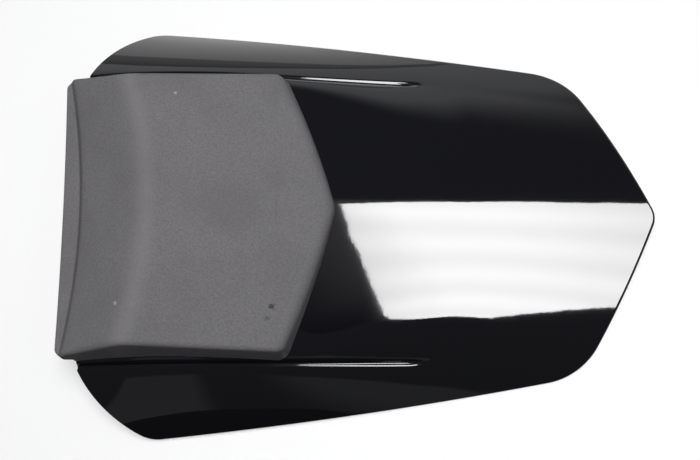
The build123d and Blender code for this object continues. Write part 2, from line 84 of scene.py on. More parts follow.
class ShellSizes(PropertyGroup):
    """Sizes of the moulded shell."""

    cowl_length: length("Length", 330.0, "Front edge of the pad's lip to the tail tip")
    wing_span: length("Wing span", 240.4, "Across the two wing corners before they are rounded")
    wing_setback: length("Wing setback", 43.0, "Wing corners behind the front edge")
    tail_corner_setback: length("Tail corner setback", 45.5, "Tail corners in front of the tail tip")
    tail_corner_span: length("Tail corner span", 178.4, "Across the tail corners before they are rounded")
    side_bow: length("Side bow", 2.7, "Bulge of each long side")
    tail_bow: length("Tail bow", 1.0, "Bulge of each tail edge")
    wing_front_bow: length("Wing front bow", 4.4, "Bulge of each wing's front edge")
    wing_root: length("Wing root", 2.0, "A wing's front edge begins this far outside the groove")
    wing_corner_radius: length("Wing corner radius", 18.0, "Rounding of the wing corners in plan")
    tail_corner_radius: length("Tail corner radius", 40.0, "Rounding of the tail corners in plan")
    tail_tip_radius: length("Tail tip radius", 12.0, "Rounding of the tail tip in plan")
    lip_overhang: length("Lip overhang", 9.0, "The pad's lip in front of the shell")
    tail_height: length("Tail height", 14.0, "Top of the skin at the tail tip")
    deck_slope: angle("Deck slope", 9.5, "Fall of the skin from the ridge to the tail")
    ridge_setback: length("Ridge setback", 50.0, "Ridge of the hump behind the front edge")
    front_slope: angle("Front slope", 25.0, "Fall of the skin from the ridge to the front")
    ridge_softness: length("Ridge softness", 3.0, "Rounding of the ridge")
    wall: length("Wall", 3.0, "Thickness of the moulding")
    rim_flare: length("Rim flare", 1.6, "The skin's arch runs this far out past the outline")
    rim_rise: length("Rim rise", 1.6, "Height of the arch there")
    groove_span: length("Groove span", 161.0, "Across the two grooves between hump and wings")
    groove_fade: length("Groove fade", 133.0, "End of the grooves in front of the tail tip")
    groove_lift: length("Groove lift", 45.0, "How strongly the grooves rise over the plain arch of the tail")
    groove_lift_end: share("Groove lift end", 0.82, "Share of a groove's length at which it is back on that arch")
    groove_blend: length("Groove blend", 3.0, "Reach of the soft corner at the bottom of a groove")
    channel_depth: length("Channel depth", 1.5, "Fine channel along the bottom of a groove")
    channel_reach: length("Channel reach", 1.2, "Half width of that channel")
    channel_start: length("Channel start", 12.0, "It has its full depth this far in front of the groove's end")
    channel_end: length("Channel end", 4.0, "It runs out this far behind the groove's end")
    flank_slope: angle("Flank slope", 58.0, "Steepness of the hump above a groove")
    hump_full: length("Hump full", 225.0, "The hump has its full shape from here on, in front of the tail tip")
    hump_fade: length("Hump fade", 105.0, "The hump has run out into the plain arch here")
    shoulder_reach: length("Shoulder reach", 30.0, "Flat width of the hump on each side")
    shoulder_rise: share("Shoulder rise", 0.5, "Share of the flank's height over which it stays straight")
    wing_curl: angle("Wing curl", 11.0, "Turn of a wing's arc to each side of its chord")
    edge_radius: length("Edge radius", 2.0, "Rounded edge along the sides and the tail")
    wing_edge_radius: length("Wing edge radius", 0.7, "Rounded front edge of the wings")
    front_wall_foot: length("Front wall foot", 18.0, "Lower edge of the front wall under the hump")
    boss_radius: length("Boss radius", 6.0, "Screw bosses inside the shell")
    boss_bore: length("Boss bore", 2.0, "Radius of a boss's screw hole")
    rib_width: length("Rib width", 1.8, "Ribs inside the shell")
    rib_foot: length("Rib foot", 36.0, "Lower edge of the ribs inside the hump")
    rib_level: length("Rib level", 15.0, "Pairs of screws over this height have a rib between their bosses")
    tail_rib_foot: length("Tail rib foot", 5.0, "Lower edge of the ribs in the tail")
    tail_rib_spacing: length("Tail rib spacing", 28.0, "The outer tail ribs beside the centre line")
    tail_rib_gap: length("Tail rib gap", 6.0, "The base's plate to the outer tail ribs")
    tail_rib_setback: length("Tail rib setback", 26.0, "The middle tail rib begins this far behind them")
    tail_rib_end: length("Tail rib end", 4.0, "The middle tail rib ends this far in front of the tip")


class PadSizes(PropertyGroup):
    """Sizes of the foam pad."""

    ridge_thickness: length("Ridge thickness", 8.6, "Foam over the ridge of the hump")
    tip_thickness: length("Tip thickness", 6.5, "Foam at the tip of the chevron")
    front_span: length("Front span", 154.5, "Across the foot of the sides at the front")
    rear_span: length("Rear span", 156.0, "Across the foot of the sides at the rear")
    foot: length("Foot", 40.0, "Height at which those widths are taken")
    draft: angle("Draft", 13.0, "Lean of the sides")
    crown: length("Crown", 5.5, "The middle stands this far over the sides")
    front_slope: angle("Front slope", 29.0, "Slope of the front")
    front_bow: length("Front bow", 8.0, "Hollow of the sloping front seen from above")
    ridge_bow: length("Ridge bow", 13.5, "Hollow of the ridge seen from above")
    ridge_softness: length("Ridge softness", 2.6, "Rounding of the ridge")
    edge_radius: length("Edge radius", 3.6, "Rounded upper edges of the sides")
    rear_edge_radius: length("Rear edge radius", 7.0, "Rounded upper edge of the chevron")
    rear_draft: angle("Rear draft", 12.0, "Lean of the chevron's faces")
    rear_inset: length("Rear inset", 1.9, "Upper edge of the chevron in front of its foot")
    chevron_tip_setback: length("Chevron tip setback", 148.4, "Tip of the chevron behind the front edge")
    chevron_depth: length("Chevron depth", 29.0, "Tip of the chevron behind its corners")
    chevron_bow: length("Chevron bow", 2.2, "Bulge of each half of the chevron")
    chevron_tip_radius: length("Chevron tip radius", 14.0, "Rounding of the tip in plan")
    chevron_corner_radius: length("Chevron corner radius", 5.0, "Rounding of the corners in plan")
    lip_height: length("Lip height", 44.0, "Top of the lip")
    lip_thickness: length("Lip thickness", 4.0, "Thickness of the lip")
    lip_depth: length("Lip depth", 9.5, "Front edge of the lip to the foot of the step behind it")
    lip_bow: length("Lip bow", 1.0, "Hollow of the lip's front edge")
    lip_edge_radius: length("Lip edge radius", 1.3, "Rounded edges of the lip")
    lip_corner_radius: length("Lip corner radius", 4.0, "Rounding of the lip's corners in plan")
    step_height: length("Step height", 4.4, "Height of the step behind the lip")
    step_slope: angle("Step slope", 58.0, "Slope of that step")
    step_softness: length("Step softness", 1.3, "Rounding of that step")
    crease_depth: length("Crease depth", 1.5, "Depth of the crease at the foot of that step")
    crease_reach: length("Crease reach", 1.9, "Half width of that crease")
    glue_gap: length("Glue gap", 0.3, "Between the pad and the shell")


class FittingSizes(PropertyGroup):
    """Sizes of the base's fittings."""

    pan_thickness: length("Base thickness", 3.0, "Plate of the base")
    pan_rear_end: length("Rear end", 100.0, "Rear end of the base's plate along X")
    screw_head_radius: length("Screw head radius", 5.0, "Head of a base screw")
    screw_head_height: length("Screw head height", 3.2, "Head of a base screw")
    screw_slot_length: length("Screw slot length", 6.0, "Cross recess in a screw head")
    screw_slot_width: length("Screw slot width", 1.0, "Cross recess in a screw head")
    screw_slot_depth: length("Screw slot depth", 1.6, "Cross recess in a screw head")
    screw_radius: length("Screw radius", 2.2, "Thread of a base screw")
    screw_length: length("Screw length", 14.0, "Below the head of a base screw")
    bolt_radius: length("Bolt radius", 3.0, "Thread of a striker bolt")
    bolt_length: length("Bolt length", 12.5, "Below the head of a striker bolt")
    bolt_flange_radius: length("Flange radius", 6.8, "Flange of a striker bolt")
    bolt_flange_height: length("Flange height", 1.4, "Flange of a striker bolt")
    bolt_head_size: length("Bolt head size", 10.0, "Across the flats of a striker bolt")
    bolt_head_height: length("Bolt head height", 4.6, "Hexagon of a striker bolt")
    bumper_radius: length("Bumper radius", 10.0, "Rubber foot where it meets the base")
    bumper_taper: length("Bumper taper", 1.5, "A foot's lower end is smaller by this radius")
    bumper_front_height: length("Front bumper height", 12.0, "The two front feet")
    bumper_rear_height: length("Rear bumper height", 6.0, "The two rear feet")
    bumper_neck: length("Bumper neck", 4.0, "Radius of the neck through the base")
    turn_seed: IntProperty(name="Turn seed", description="Seed for the way each head is turned", default=4)


class Finishes(PropertyGroup):
    """Colours of the finishes."""

    shell_black: colour("Shell", 0.0054, 0.0055, 0.0072, "Gloss black plastic")
    foam_grey: colour("Foam", 0.138, 0.134, 0.139, "Closed-cell foam")
    base_black: colour("Base", 0.022, 0.022, 0.023, "Moulded base")
    zinc: colour("Zinc", 0.62, 0.61, 0.57, "Zinc plated steel")
    rubber_black: colour("Rubber", 0.022, 0.021, 0.020, "Rubber feet")
    floor_white: colour("Floor", 0.90, 0.90, 0.905, "Table the cowl lies on")


class StageSettings(PropertyGroup):
    """Camera and lights."""

    target_x: length("Target X", -9.6, "Point the camera looks at")
    target_y: length("Target Y", -2.1, "Point the camera looks at")
    distance: length("Distance", 526.8, "Camera to that point")
    azimuth: angle("Azimuth", -0.39, "Turn of the camera about Z")
    elevation: angle("Elevation", 78.38, "Height of the camera over the horizon")
    roll: angle("Roll", -0.57, "Turn of the camera about its own axis")
    focal: number("Focal length", 46.3, "In millimetres on a 36 mm sensor", "DISTANCE_CAMERA")
    softbox_height: length("Softbox height", 900.0, "Softbox over the table")
    softbox_strength: number("Softbox", 24.0, "Brightness of the softbox")
    lamp_power: number("Lamp", 8.5, "Power of the overhead lamp in watts", "POWER")
    lamp_size: length("Lamp size", 450.0, "Across the overhead lamp")
    lamp_x: length("Lamp X", -60.0, "Place of the overhead lamp")
    lamp_y: length("Lamp Y", 60.0, "Place of the overhead lamp")
    lamp_height: length("Lamp height", 900.0, "Overhead lamp over the table")
    tube_spacing: length("Tube spacing", 210.0, "Between the tubes behind the softbox's cloth")
    tube_start: length("Tube start", 200.0, "Place of the first tube along Y")
    floor_glow: share("Floor glow", 0.45, "Share of plain white in the table as it is seen")
    room: number("Room", 0.07, "Brightness of the dim room")
    panes: number("Panes", 0.16, "Brightness of the dim panes in front of the table")
    backdrop: number("Backdrop", 0.75, "Brightness of the pale wall behind the table")


def mix(a, b, part):
    return a + (b - a) * part


def ramp(x, start, end):
    """Rises smoothly from 0 at start to 1 at end."""
    u = np.clip((x - start) / (end - start), 0.0, 1.0)
    return u * u * (3 - 2 * u)


def soft_min(a, b, softness):
    """The lower of two heights, rounded where they cross."""
    return 0.5 * (a + b - np.sqrt((a - b) ** 2 + softness**2))


def soft_max(a, b, softness):
    return -soft_min(-a, -b, softness)


def bezier(points, count):
    """Points along a Bezier curve."""
    t = np.linspace(0.0, 1.0, count)[:, None]
    rows = [np.repeat(np.array(p, float)[None, :], count, 0) for p in points]
    while len(rows) > 1:
        rows = [a + (b - a) * t for a, b in zip(rows, rows[1:])]
    return rows[0]


def bowed(start, end, bow):
    """Arc from start to end that bulges to the left of its way, as a function of 0 to 1."""
    start, end = np.array(start), np.array(end)
    chord = end - start
    span = sqrt(chord @ chord)
    left = np.array((-chord[1], chord[0])) / span
    radius = span * span / (8 * bow) + bow / 2
    centre = (start + end) / 2 + left * (bow - radius)
    half = asin(span / 2 / radius)
    along = chord / span
    return lambda t: centre + radius * (left * cos(half * (2 * t - 1)) + along * sin(half * (2 * t - 1)))


def inside(curve, t, depth):
    """Point at a depth to the right of a curve's way."""
    way = curve(t + 1e-4) - curve(t - 1e-4)
    return curve(t) + depth * np.array((way[1], -way[0])) / sqrt(way @ way)


def round_corner(first, second, radius):
    """Where a circle inside the corner touches the two curves that meet there, and its centre."""
    t = np.array((0.85, 0.15))
    for _ in range(40):
        miss = inside(first, t[0], radius) - inside(second, t[1], radius)
        slopes = np.empty((2, 2))
        slopes[:, 0] = (inside(first, t[0] + 1e-4, radius) - inside(first, t[0] - 1e-4, radius)) / 2e-4
        slopes[:, 1] = -(inside(second, t[1] + 1e-4, radius) - inside(second, t[1] - 1e-4, radius)) / 2e-4
        t = t - np.clip(np.linalg.solve(slopes, miss), -0.2, 0.2)
    return t[0], t[1], inside(first, t[0], radius)


def arc_between(start, end, centre, count):
    """Points clockwise round a centre."""
    a = atan2(*(start - centre)[::-1])
    b = atan2(*(end - centre)[::-1])
    radius = sqrt((start - centre) @ (start - centre))
    b = b if b <= a else b - 2 * pi
    return [centre + radius * np.array((cos(s), sin(s))) for s in np.linspace(a, b, count)]


def touching_tip(curve, radius):
    """Where a circle on the centre line touches a curve that runs to that line, and its centre."""
    low, high = 0.5, 1.0
    for _ in range(50):
        middle = (low + high) / 2
        low, high = (middle, high) if inside(curve, middle, radius)[1] > 0 else (low, middle)
    return low, inside(curve, low, radius)


def joined(stretches):
    """One line from stretches that each begin where the one before ends."""
    return np.concatenate([stretches[0], *[stretch[1:] for stretch in stretches[1:]]])


def inward(points):
    """Unit normals to the right of the way along a line of points."""
    steps = np.diff(points, axis=0)
    steps /= np.linalg.norm(steps, axis=1)[:, None]
    way = np.vstack((steps[:1], steps[1:] + steps[:-1], steps[-1:]))
    way /= np.linalg.norm(way, axis=1)[:, None]
    return np.column_stack((way[:, 1], -way[:, 0]))


class Skin:
    """Upper surface of the shell."""

    def __init__(self, sizes):
        self.s = sizes
        self.tail_x = sizes.cowl_length / 2
        self.front_x = -sizes.cowl_length / 2
        self.shell_front_x = self.front_x + sizes.lip_overhang
        self.wing_x = self.front_x + sizes.wing_setback
        self.wing_y = sizes.wing_span / 2
        self.corner_x = self.tail_x - sizes.tail_corner_setback
        self.corner_y = sizes.tail_corner_span / 2
        self.ridge_x = self.front_x + sizes.ridge_setback
        self.fade_x = self.tail_x - sizes.groove_fade
        self.full_x = self.tail_x - sizes.hump_full
        self.hump_end_x = self.tail_x - sizes.hump_fade

    def side(self, x):
        """Half width of the plan along the long sides."""
        u = (x - self.wing_x) / (self.corner_x - self.wing_x)
        return mix(self.wing_y, self.corner_y, u) + 4 * self.s.side_bow * u * (1 - u)

    def deck(self, x):
        """Height of the straight line from the ridge to the tail."""
        return self.s.tail_height + (self.tail_x - x) * tan(self.s.deck_slope)

    def crown(self, x):
        """Height of the skin on the centre line."""
        front = self.deck(self.ridge_x) + (x - self.ridge_x) * tan(self.s.front_slope)
        return soft_min(self.deck(x), front, self.s.ridge_softness)

    def rim(self, x):
        return self.side(x) + self.s.rim_flare

    def arch(self, x):
        """Radius of the plain arch from rim to rim."""
        height = self.deck(x) - self.s.rim_rise
        return (self.rim(x) ** 2 + height**2) / (2 * height)

    def groove(self, x):
        """Bottom of the groove; behind its end it is just a point on the arch."""
        y = self.s.groove_span / 2 * min(self.side(x) / self.side(self.fade_x), 1.0)
        u = max((self.fade_x - x) / (self.fade_x - self.shell_front_x), 0.0)
        lift = self.s.groove_lift * u**2 * (1 - u / self.s.groove_lift_end)
        return np.array((y, self.deck(x) - self.arch(x) + sqrt(self.arch(x) ** 2 - y**2) + lift))

    def section(self, x, shift=0.0):
        """Points of the half section at x from the centre to the rim, moved out by shift."""
        s = self.s
        valley = self.groove(x)
        fade = float(ramp(x, self.hump_end_x, self.full_x))
        fall = asin(valley[0] / self.arch(x))
        flank = mix(fall, s.flank_slope, fade)
        chord = atan2(valley[1] - s.rim_rise, self.rim(x) - valley[0])
        curl = mix((asin(self.rim(x) / self.arch(x)) - fall) / 2, s.wing_curl, fade)
        wing_top, wing_foot = chord - curl, chord + curl
        up = np.array((-cos(flank), sin(flank)))
        out = np.array((cos(wing_top), -sin(wing_top)))
        normals = np.array((sin(flank) + sin(wing_top), cos(flank) + cos(wing_top)))
        valley = valley + normals * (shift / (1 + cos(flank - wing_top)))
        top = np.array((0.0, self.crown(x) + shift))
        rise_share = mix(4 / 3 * tan(fall / 4) / tan(fall / 2), s.shoulder_rise, fade)
        reach = rise_share * (top[1] - valley[1]) / sin(flank)
        flat = mix(4 / 3 * tan(fall / 4) * (self.arch(x) + shift), s.shoulder_reach, fade)
        blend = min(s.groove_blend - shift * tan((flank - wing_top) / 2), reach / 2)
        hump_end, wing_start = valley + up * blend, valley + out * blend
        rim = np.array((self.rim(x) + shift * sin(wing_foot), s.rim_rise + shift * cos(wing_foot)))
        third = np.linalg.norm(rim - wing_start) / 3
        rim_pull = rim + np.array((-cos(wing_foot), sin(wing_foot))) * third
        hump = bezier((top, top + np.array((flat, 0.0)), valley + up * reach, hump_end), 300)
        soft = bezier((hump_end, valley, wing_start), 80)
        wing = bezier((wing_start, wing_start + out * third, rim_pull, rim), 240)
        past_rim = 0.02
        beyond = rim + np.array((cos(wing_foot), -sin(wing_foot))) * past_rim
        return np.vstack((hump, soft[1:], wing[1:], beyond[None, :]))

    def height(self, x, y, shift=0.0):
        """Height of the skin over places on one cross line, with the channel along the groove on its outside."""
        line, s = self.section(x, shift), self.s
        height = np.interp(np.abs(y), line[:, 0], line[:, 1])
        if shift != 0:
            return height
        depth = s.channel_depth * float(ramp(x, self.fade_x + s.channel_end, self.fade_x - s.channel_start))
        return height - depth * np.exp(-(((np.abs(y) - s.groove_span / 2) / s.channel_reach) ** 2))

    def field(self, xs, ys, shift):
        """Heights over a lattice, as a function of places."""
        table = np.array([self.height(x, ys, shift) for x in xs])

        def look_up(x, y):
            u = np.clip((np.asarray(x) - xs[0]) / (xs[1] - xs[0]), 0, len(xs) - 1.001)
            v = np.clip((np.abs(y) - ys[0]) / (ys[1] - ys[0]), 0, len(ys) - 1.001)
            i, j = u.astype(int), v.astype(int)
            u, v = u - i, v - j
            return mix(mix(table[i, j], table[i + 1, j], u), mix(table[i, j + 1], table[i + 1, j + 1], u), v)

        return look_up

    def outline(self):
        """Half plan from the root of a wing round its corner to the tail tip, and how far it is a closed side."""
        s = self.s
        root = (self.shell_front_x, s.groove_span / 2 + s.wing_root)
        wing = bowed(root, (self.wing_x, self.wing_y), s.wing_front_bow)

        def side(t):
            x = mix(self.wing_x, self.corner_x, t)
            return np.array((x, self.side(x)))

        tail_chord = atan2(self.corner_y, s.tail_corner_setback)
        half_angle = tail_chord + 2 * atan(2 * s.tail_bow * sin(tail_chord) / self.corner_y)
        tip_x = self.tail_x + s.tail_tip_radius * (1 / sin(half_angle) - 1)
        tail = bowed((self.corner_x, self.corner_y), (tip_x, 0.0), s.tail_bow)
        wing_end, side_start, wing_centre = round_corner(wing, side, s.wing_corner_radius)
        side_end, tail_start, tail_centre = round_corner(side, tail, s.tail_corner_radius)
        tail_end, tip_centre = touching_tip(tail, s.tail_tip_radius)
        tip = tip_centre + np.array((s.tail_tip_radius, 0.0))
        stretches = [
            [wing(t) for t in np.linspace(0, wing_end, 36)],
            arc_between(wing(wing_end), side(side_start), wing_centre, 22),
            [side(t) for t in np.linspace(side_start, side_end, 110)],
            arc_between(side(side_end), tail(tail_start), tail_centre, 36),
            [tail(t) for t in np.linspace(tail_start, tail_end, 44)],
            arc_between(tail(tail_end), tip, tip_centre, 26),
        ]
        closed = [np.zeros(36), ramp(np.arange(22), 0, 21), *[np.ones(len(part)) for part in stretches[2:]]]
        return joined(stretches), joined(closed)


class Sheet:
    """Collects grids of points and makes one mesh of them."""

    def __init__(self):
        self.points, self.faces, self.count = [], [], 0

    def grid(self, rows, flip=False):
        """Adds a grid of rows of points, its faces up where rows run along X and points along Y."""
        rows = np.asarray(rows, float)
        n, m = rows.shape[:2]
        index = np.arange(n * m).reshape(n, m) + self.count
        quads = np.stack((index[:-1, :-1], index[1:, :-1], index[1:, 1:], index[:-1, 1:]), -1).reshape(-1, 4)
        self.faces.append(quads[:, ::-1] if flip else quads)
        self.points.append(rows.reshape(-1, 3))
        self.count += n * m

    def stitch(self, low, high):
        """Adds triangles between two lines of points along Y that need not have the same number of points."""
        first, second = self.count, self.count + len(low)
        i, j, faces = 0, 0, []
        while i < len(low) - 1 or j < len(high) - 1:
            if j == len(high) - 1 or (i < len(low) - 1 and low[i + 1, 1] <= high[j + 1, 1]):
                faces.append((first + i, second + j, first + i + 1))
                i += 1
            else:
                faces.append((first + i, second + j, second + j + 1))
                j += 1
        self.faces.append(np.array(faces))
        self.points.append(np.vstack((low, high)))
        self.count += len(low) + len(high)

    def mirrored(self, rows, flip=False):
        """Adds a grid and its image on the other side."""
        rows = np.asarray(rows, float)
        self.grid(rows, flip)
        self.grid(rows * (1, -1, 1), not flip)

    def box(self, low, high):
        """Adds a closed box."""
        (a, b, c), (d, e, f) = low, high
        corners = [(a, b, c), (d, b, c), (d, e, c), (a, e, c), (a, b, f), (d, b, f), (d, e, f), (a, e, f)]
        sides = np.array([(3, 2, 1, 0), (4, 5, 6, 7), (0, 1, 5, 4), (1, 2, 6, 5), (2, 3, 7, 6), (3, 0, 4, 7)])
        self.points.append(np.array(corners, float))
        self.faces.append(sides + self.count)
        self.count += 8

    def lathe(self, profile, segments, place=(0.0, 0.0, 0.0)):
        """Adds a profile of radius and height turned round a vertical axis."""
        turns = np.linspace(0, 2 * pi, segments + 1)
        rows = [[(r * cos(t), r * sin(t), z) for t in turns] for r, z in profile]
        self.grid(np.array(rows) + np.array(place))

    def piece(self, name, sharp=35.0):
        """The mesh as an object in the scene."""
        mesh = bpy.data.meshes.new(name)
        faces = [[int(i) for i in face] for part in self.faces for face in part]
        mesh.from_pydata(np.vstack(self.points).tolist(), [], faces)
        weld(mesh)
        smooth(mesh, sharp)
        return show(name, mesh)


def weld(mesh, distance=2e-6):
    """Joins points that lie on each other and drops faces that lose their area."""
    work = bmesh.new()
    work.from_mesh(mesh)
    bmesh.ops.remove_doubles(work, verts=work.verts, dist=distance)
    bmesh.ops.dissolve_degenerate(work, edges=work.edges, dist=distance / 2)
    loose = [v for v in work.verts if not v.link_faces]
    bmesh.ops.delete(work, geom=loose, context="VERTS")
    work.to_mesh(mesh)
    work.free()


def smooth(mesh, sharp):
    mesh.polygons.foreach_set("use_smooth", [True] * len(mesh.polygons))
    mesh.set_sharp_from_angle(angle=radians(sharp))


def show(name, mesh):
    piece = bpy.data.objects.new(name, mesh)
    bpy.context.scene.collection.objects.link(piece)
    return piece


class Value:
    """A socket whose value can be worked with like a number."""

    def __init__(self, tree, socket):
        self.tree, self.socket = tree, socket

    def math(self, operation, *others):
        return self.tree.node("ShaderNodeMath", {"operation": operation}, dict(enumerate((self, *others))))

    def __add__(self, other):
        return self.math("ADD", other)

    def __mul__(self, other):
        return self.math("MULTIPLY", other)

    __radd__, __rmul__ = __add__, __mul__

    def __sub__(self, other):
        return self.math("SUBTRACT", other)

    def __rsub__(self, other):
        return self.math("MULTIPLY_ADD", -1.0, other)

    def step(self, start, end):
        """Rises smoothly from 0 at start to 1 at end."""
        settings = {"interpolation_type": "SMOOTHSTEP"}
        return self.tree.node("ShaderNodeMapRange", settings, {"Value": self, "From Min": start, "From Max": end})


class Tree:
    """A node tree."""

    def __init__(self, tree):
        self.nodes, self.links = tree.nodes, tree.links

    def join(self, socket, value):
        if isinstance(value, Value):
            self.links.new(value.socket, socket)
        else:
            socket.default_value = value

    def node(self, kind, settings, inputs, output=0):
        """A node of any type, its settings set first, then the values or links of its sockets."""
        node = self.nodes.new(kind)
        for name, value in settings.items():
            setattr(node, name, value)
        for name, value in inputs.items():
            self.join(node.inputs[name], value)
        return Value(self, node.outputs[output])

    def axes(self, where):
        """The three parts of a place or a way."""
        parts = self.node("ShaderNodeSeparateXYZ", {}, {0: where})
        return [Value(self, socket) for socket in parts.socket.node.outputs]


class Finish(Tree):
    """A procedural material."""

    def __init__(self, name, colour, roughness, **constants):
        self.material = bpy.data.materials.new(name)
        self.material.use_nodes = True
        super().__init__(self.material.node_tree)
        self.shader = self.nodes["Principled BSDF"]
        self.material.diffuse_color = (*colour, 1.0)
        self.set("Base Color", (*colour, 1.0))
        self.set("Roughness", roughness)
        for socket, value in constants.items():
            self.set(socket.replace("_", " "), value)

    def set(self, socket, value):
        self.join(self.shader.inputs[socket], value)

    def place(self, scale=(1.0, 1.0, 1.0), turn=(0.0, 0.0, 0.0)):
        """Place on the piece, stretched and turned for a pattern."""
        where = self.node("ShaderNodeTexCoord", {}, {}, "Object")
        return self.node("ShaderNodeMapping", {}, {"Vector": where, "Scale": scale, "Rotation": turn})

    def noise(self, where, scale, detail=2.0, roughness=0.5):
        inputs = {"Vector": where, "Scale": scale, "Detail": detail, "Roughness": roughness}
        return self.node("ShaderNodeTexNoise", {}, inputs)

    def far_from(self, where, x, y, z):
        """Distance to a place on the piece, in metres."""
        settings = {"operation": "DISTANCE"}
        return self.node("ShaderNodeVectorMath", settings, {0: where, 1: (x, y, z)}, "Value")

    def blend(self, part, first, second):
        """Colour between two colours."""
        node = self.nodes.new("ShaderNodeMix")
        node.data_type = "RGBA"
        colours = [socket for socket in node.inputs if socket.type == "RGBA"]
        for socket, value in zip((node.inputs[0], *colours), (part, first, second)):
            self.join(socket, value)
        return Value(self, [socket for socket in node.outputs if socket.type == "RGBA"][0])

    def light(self, strength):
        return self.node("ShaderNodeEmission", {}, {"Strength": strength})

    def between(self, part, first, second):
        """Surface between two surfaces."""
        return self.node("ShaderNodeMixShader", {}, {0: part, 1: first, 2: second})

    def surface(self, shader):
        self.links.new(shader.socket, self.nodes["Material Output"].inputs["Surface"])

    def bump(self, height, strength, depth):
        inputs = {"Strength": strength, "Distance": depth, "Height": height}
        self.set("Normal", self.node("ShaderNodeBump", {}, inputs))


# Marks on the foam: place, reach, strength and how much brighter they are than the foam. The first two are painted
# shade where small pits are; the pits themselves are not modelled.
FOAM_MARKS = (
    (-0.0507, -0.0528, 0.0022, 0.8, 0.25),
    (-0.0530, -0.0589, 0.0018, 0.5, 0.35),
    (-0.0702, -0.0014, 0.0200, 0.35, 0.75),
    (-0.1013, 0.0607, 0.0011, 0.7, 2.6),
    (-0.1291, -0.0507, 0.0013, 0.7, 2.6),
    (-0.0447, -0.0774, 0.0024, 0.6, 2.0),
)

# Outline of the softbox over the table, X and Y in metres.
SOFTBOX_CORNERS = (
    (0.272, 0.256), (0.283, 0.04), (0.31, -0.11), (0.35, -0.27), (0.42, -0.48), (0.45, -0.545), (0.49, -0.59),
    (0.53, -0.585), (0.72, -0.365), (0.86, -0.225), (0.95, 0.31), (0.60, 0.31), (0.38, 0.285),
)

# Points of half a cross line of the shell: over the hump, round the groove and over the wing.
OUTER_COUNTS, INNER_COUNTS = (40, 28, 30), (16, 8, 10)

# Number of the point at which a strip of the shell's rim turns under.
RIM_LAND = 9


def tint(colour, factor):
    return (*[min(c * factor, 1.0) for c in colour], 1.0)


def gloss_black(colour):
    """High gloss moulded plastic with a faint ripple, orange peel and wiping marks."""
    finish = Finish("gloss_black", colour, 0.03, IOR=1.5)
    ripple = finish.noise(finish.place(), 55.0, 1.0)
    peel = finish.noise(finish.place(), 420.0, 2.0)
    marks = finish.noise(finish.place((1.0, 7.0, 3.0), (0.0, 0.0, 0.6)), 160.0, 3.0, 0.7)
    haze = finish.noise(finish.place(), 18.0, 2.0)
    wiped = marks.step(0.56, 0.72) * haze.step(0.45, 0.7)
    finish.set("Roughness", 0.035 + wiped * 0.03)
    finish.bump(ripple * 0.5 + peel * 0.07, 0.12, 0.0004)
    return finish.material


def foam(colour, ridge_x):
    """Matt closed-cell foam with a fine grain, dust and handling marks, a few pits painted dark as painted shade, and
    a painted highlight along the ridge.
    """
    finish = Finish("foam_grey", colour, 0.9, Specular_IOR_Level=0.03)
    where, flat = finish.place(), finish.place((1.0, 1.0, 0.0))
    grain = finish.noise(where, 1500.0, 2.0, 0.6)
    cells = finish.noise(where, 950.0, 2.0, 0.6)
    cloud = finish.noise(where, 26.0, 3.0, 0.6)
    tone = finish.blend(cells.step(0.25, 0.75), tint(colour, 0.82), tint(colour, 1.14))
    tone = finish.blend(grain.step(0.3, 0.7) * 0.4, tone, tint(colour, 1.15))
    tone = finish.blend((1 - cloud.step(0.25, 0.6)) * 0.35, tone, tint(colour, 0.75))
    x, y, _ = finish.axes(where)
    # Painted highlight: a lighter streak along the ridge of the pad.
    ridge = (x + y * y * 2.4 - ridge_x).math("ABSOLUTE")
    tone = finish.blend((1 - ridge.step(0.001, 0.009)) * (0.5 + cloud) * 0.45, tone, tint(colour, 1.3))
    ragged = (cells - 0.5) * 0.002
    # The first two marks are the painted shade of small pits.
    for x, y, reach, part, factor in FOAM_MARKS:
        away = finish.far_from(flat, x, y, 0.0) + ragged
        tone = finish.blend((1 - away.step(reach * 0.3, reach)) * part, tone, tint(colour, factor))
    finish.set("Base Color", tone)
    finish.bump(grain * 0.5 + cells * 0.5, 0.5, 0.0003)
    return finish.material


def moulded_black(colour):
    """Matt moulded plastic with a spark-eroded texture."""
    finish = Finish("moulded_black", colour, 0.55)
    grain = finish.noise(finish.place(), 900.0, 2.0, 0.6)
    cloud = finish.noise(finish.place(), 35.0, 2.0)
    finish.set("Base Color", finish.blend(cloud, tint(colour, 0.85), tint(colour, 1.25)))
    finish.set("Roughness", 0.48 + grain * 0.18)
    finish.bump(grain, 0.25, 0.0002)
    return finish.material


def zinc_plate(name, colour):
    """Zinc plated steel with drawn marks and dull patches."""
    finish = Finish(name, colour, 0.35, Metallic=1.0)
    drawn = finish.noise(finish.place((1.0, 22.0, 22.0)), 120.0, 2.0)
    dull = finish.noise(finish.place(), 70.0, 3.0, 0.6)
    finish.set("Base Color", finish.blend(dull.step(0.35, 0.7), tint(colour, 0.82), tint(colour, 1.0)))
    finish.set("Roughness", 0.26 + drawn * 0.12 + dull * 0.14)
    finish.bump(drawn, 0.15, 0.0001)
    return finish.material


def rubber(colour):
    """Moulded rubber, a little dusty."""
    finish = Finish("rubber_black", colour, 0.7)
    dust = finish.noise(finish.place(), 260.0, 3.0, 0.7)
    finish.set("Base Color", finish.blend(dust.step(0.5, 0.75), tint(colour, 0.9), tint(colour, 2.2)))
    finish.set("Roughness", 0.6 + dust * 0.25)
    finish.bump(dust, 0.2, 0.0002)
    return finish.material


def dress(piece, material):
    piece.data.materials.clear()
    piece.data.materials.append(material)


def finish_piece(piece, material, node):
    """Gives a piece its finish and its place in the frame."""
    dress(piece, material)
    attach(piece, "root")
    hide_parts(node)


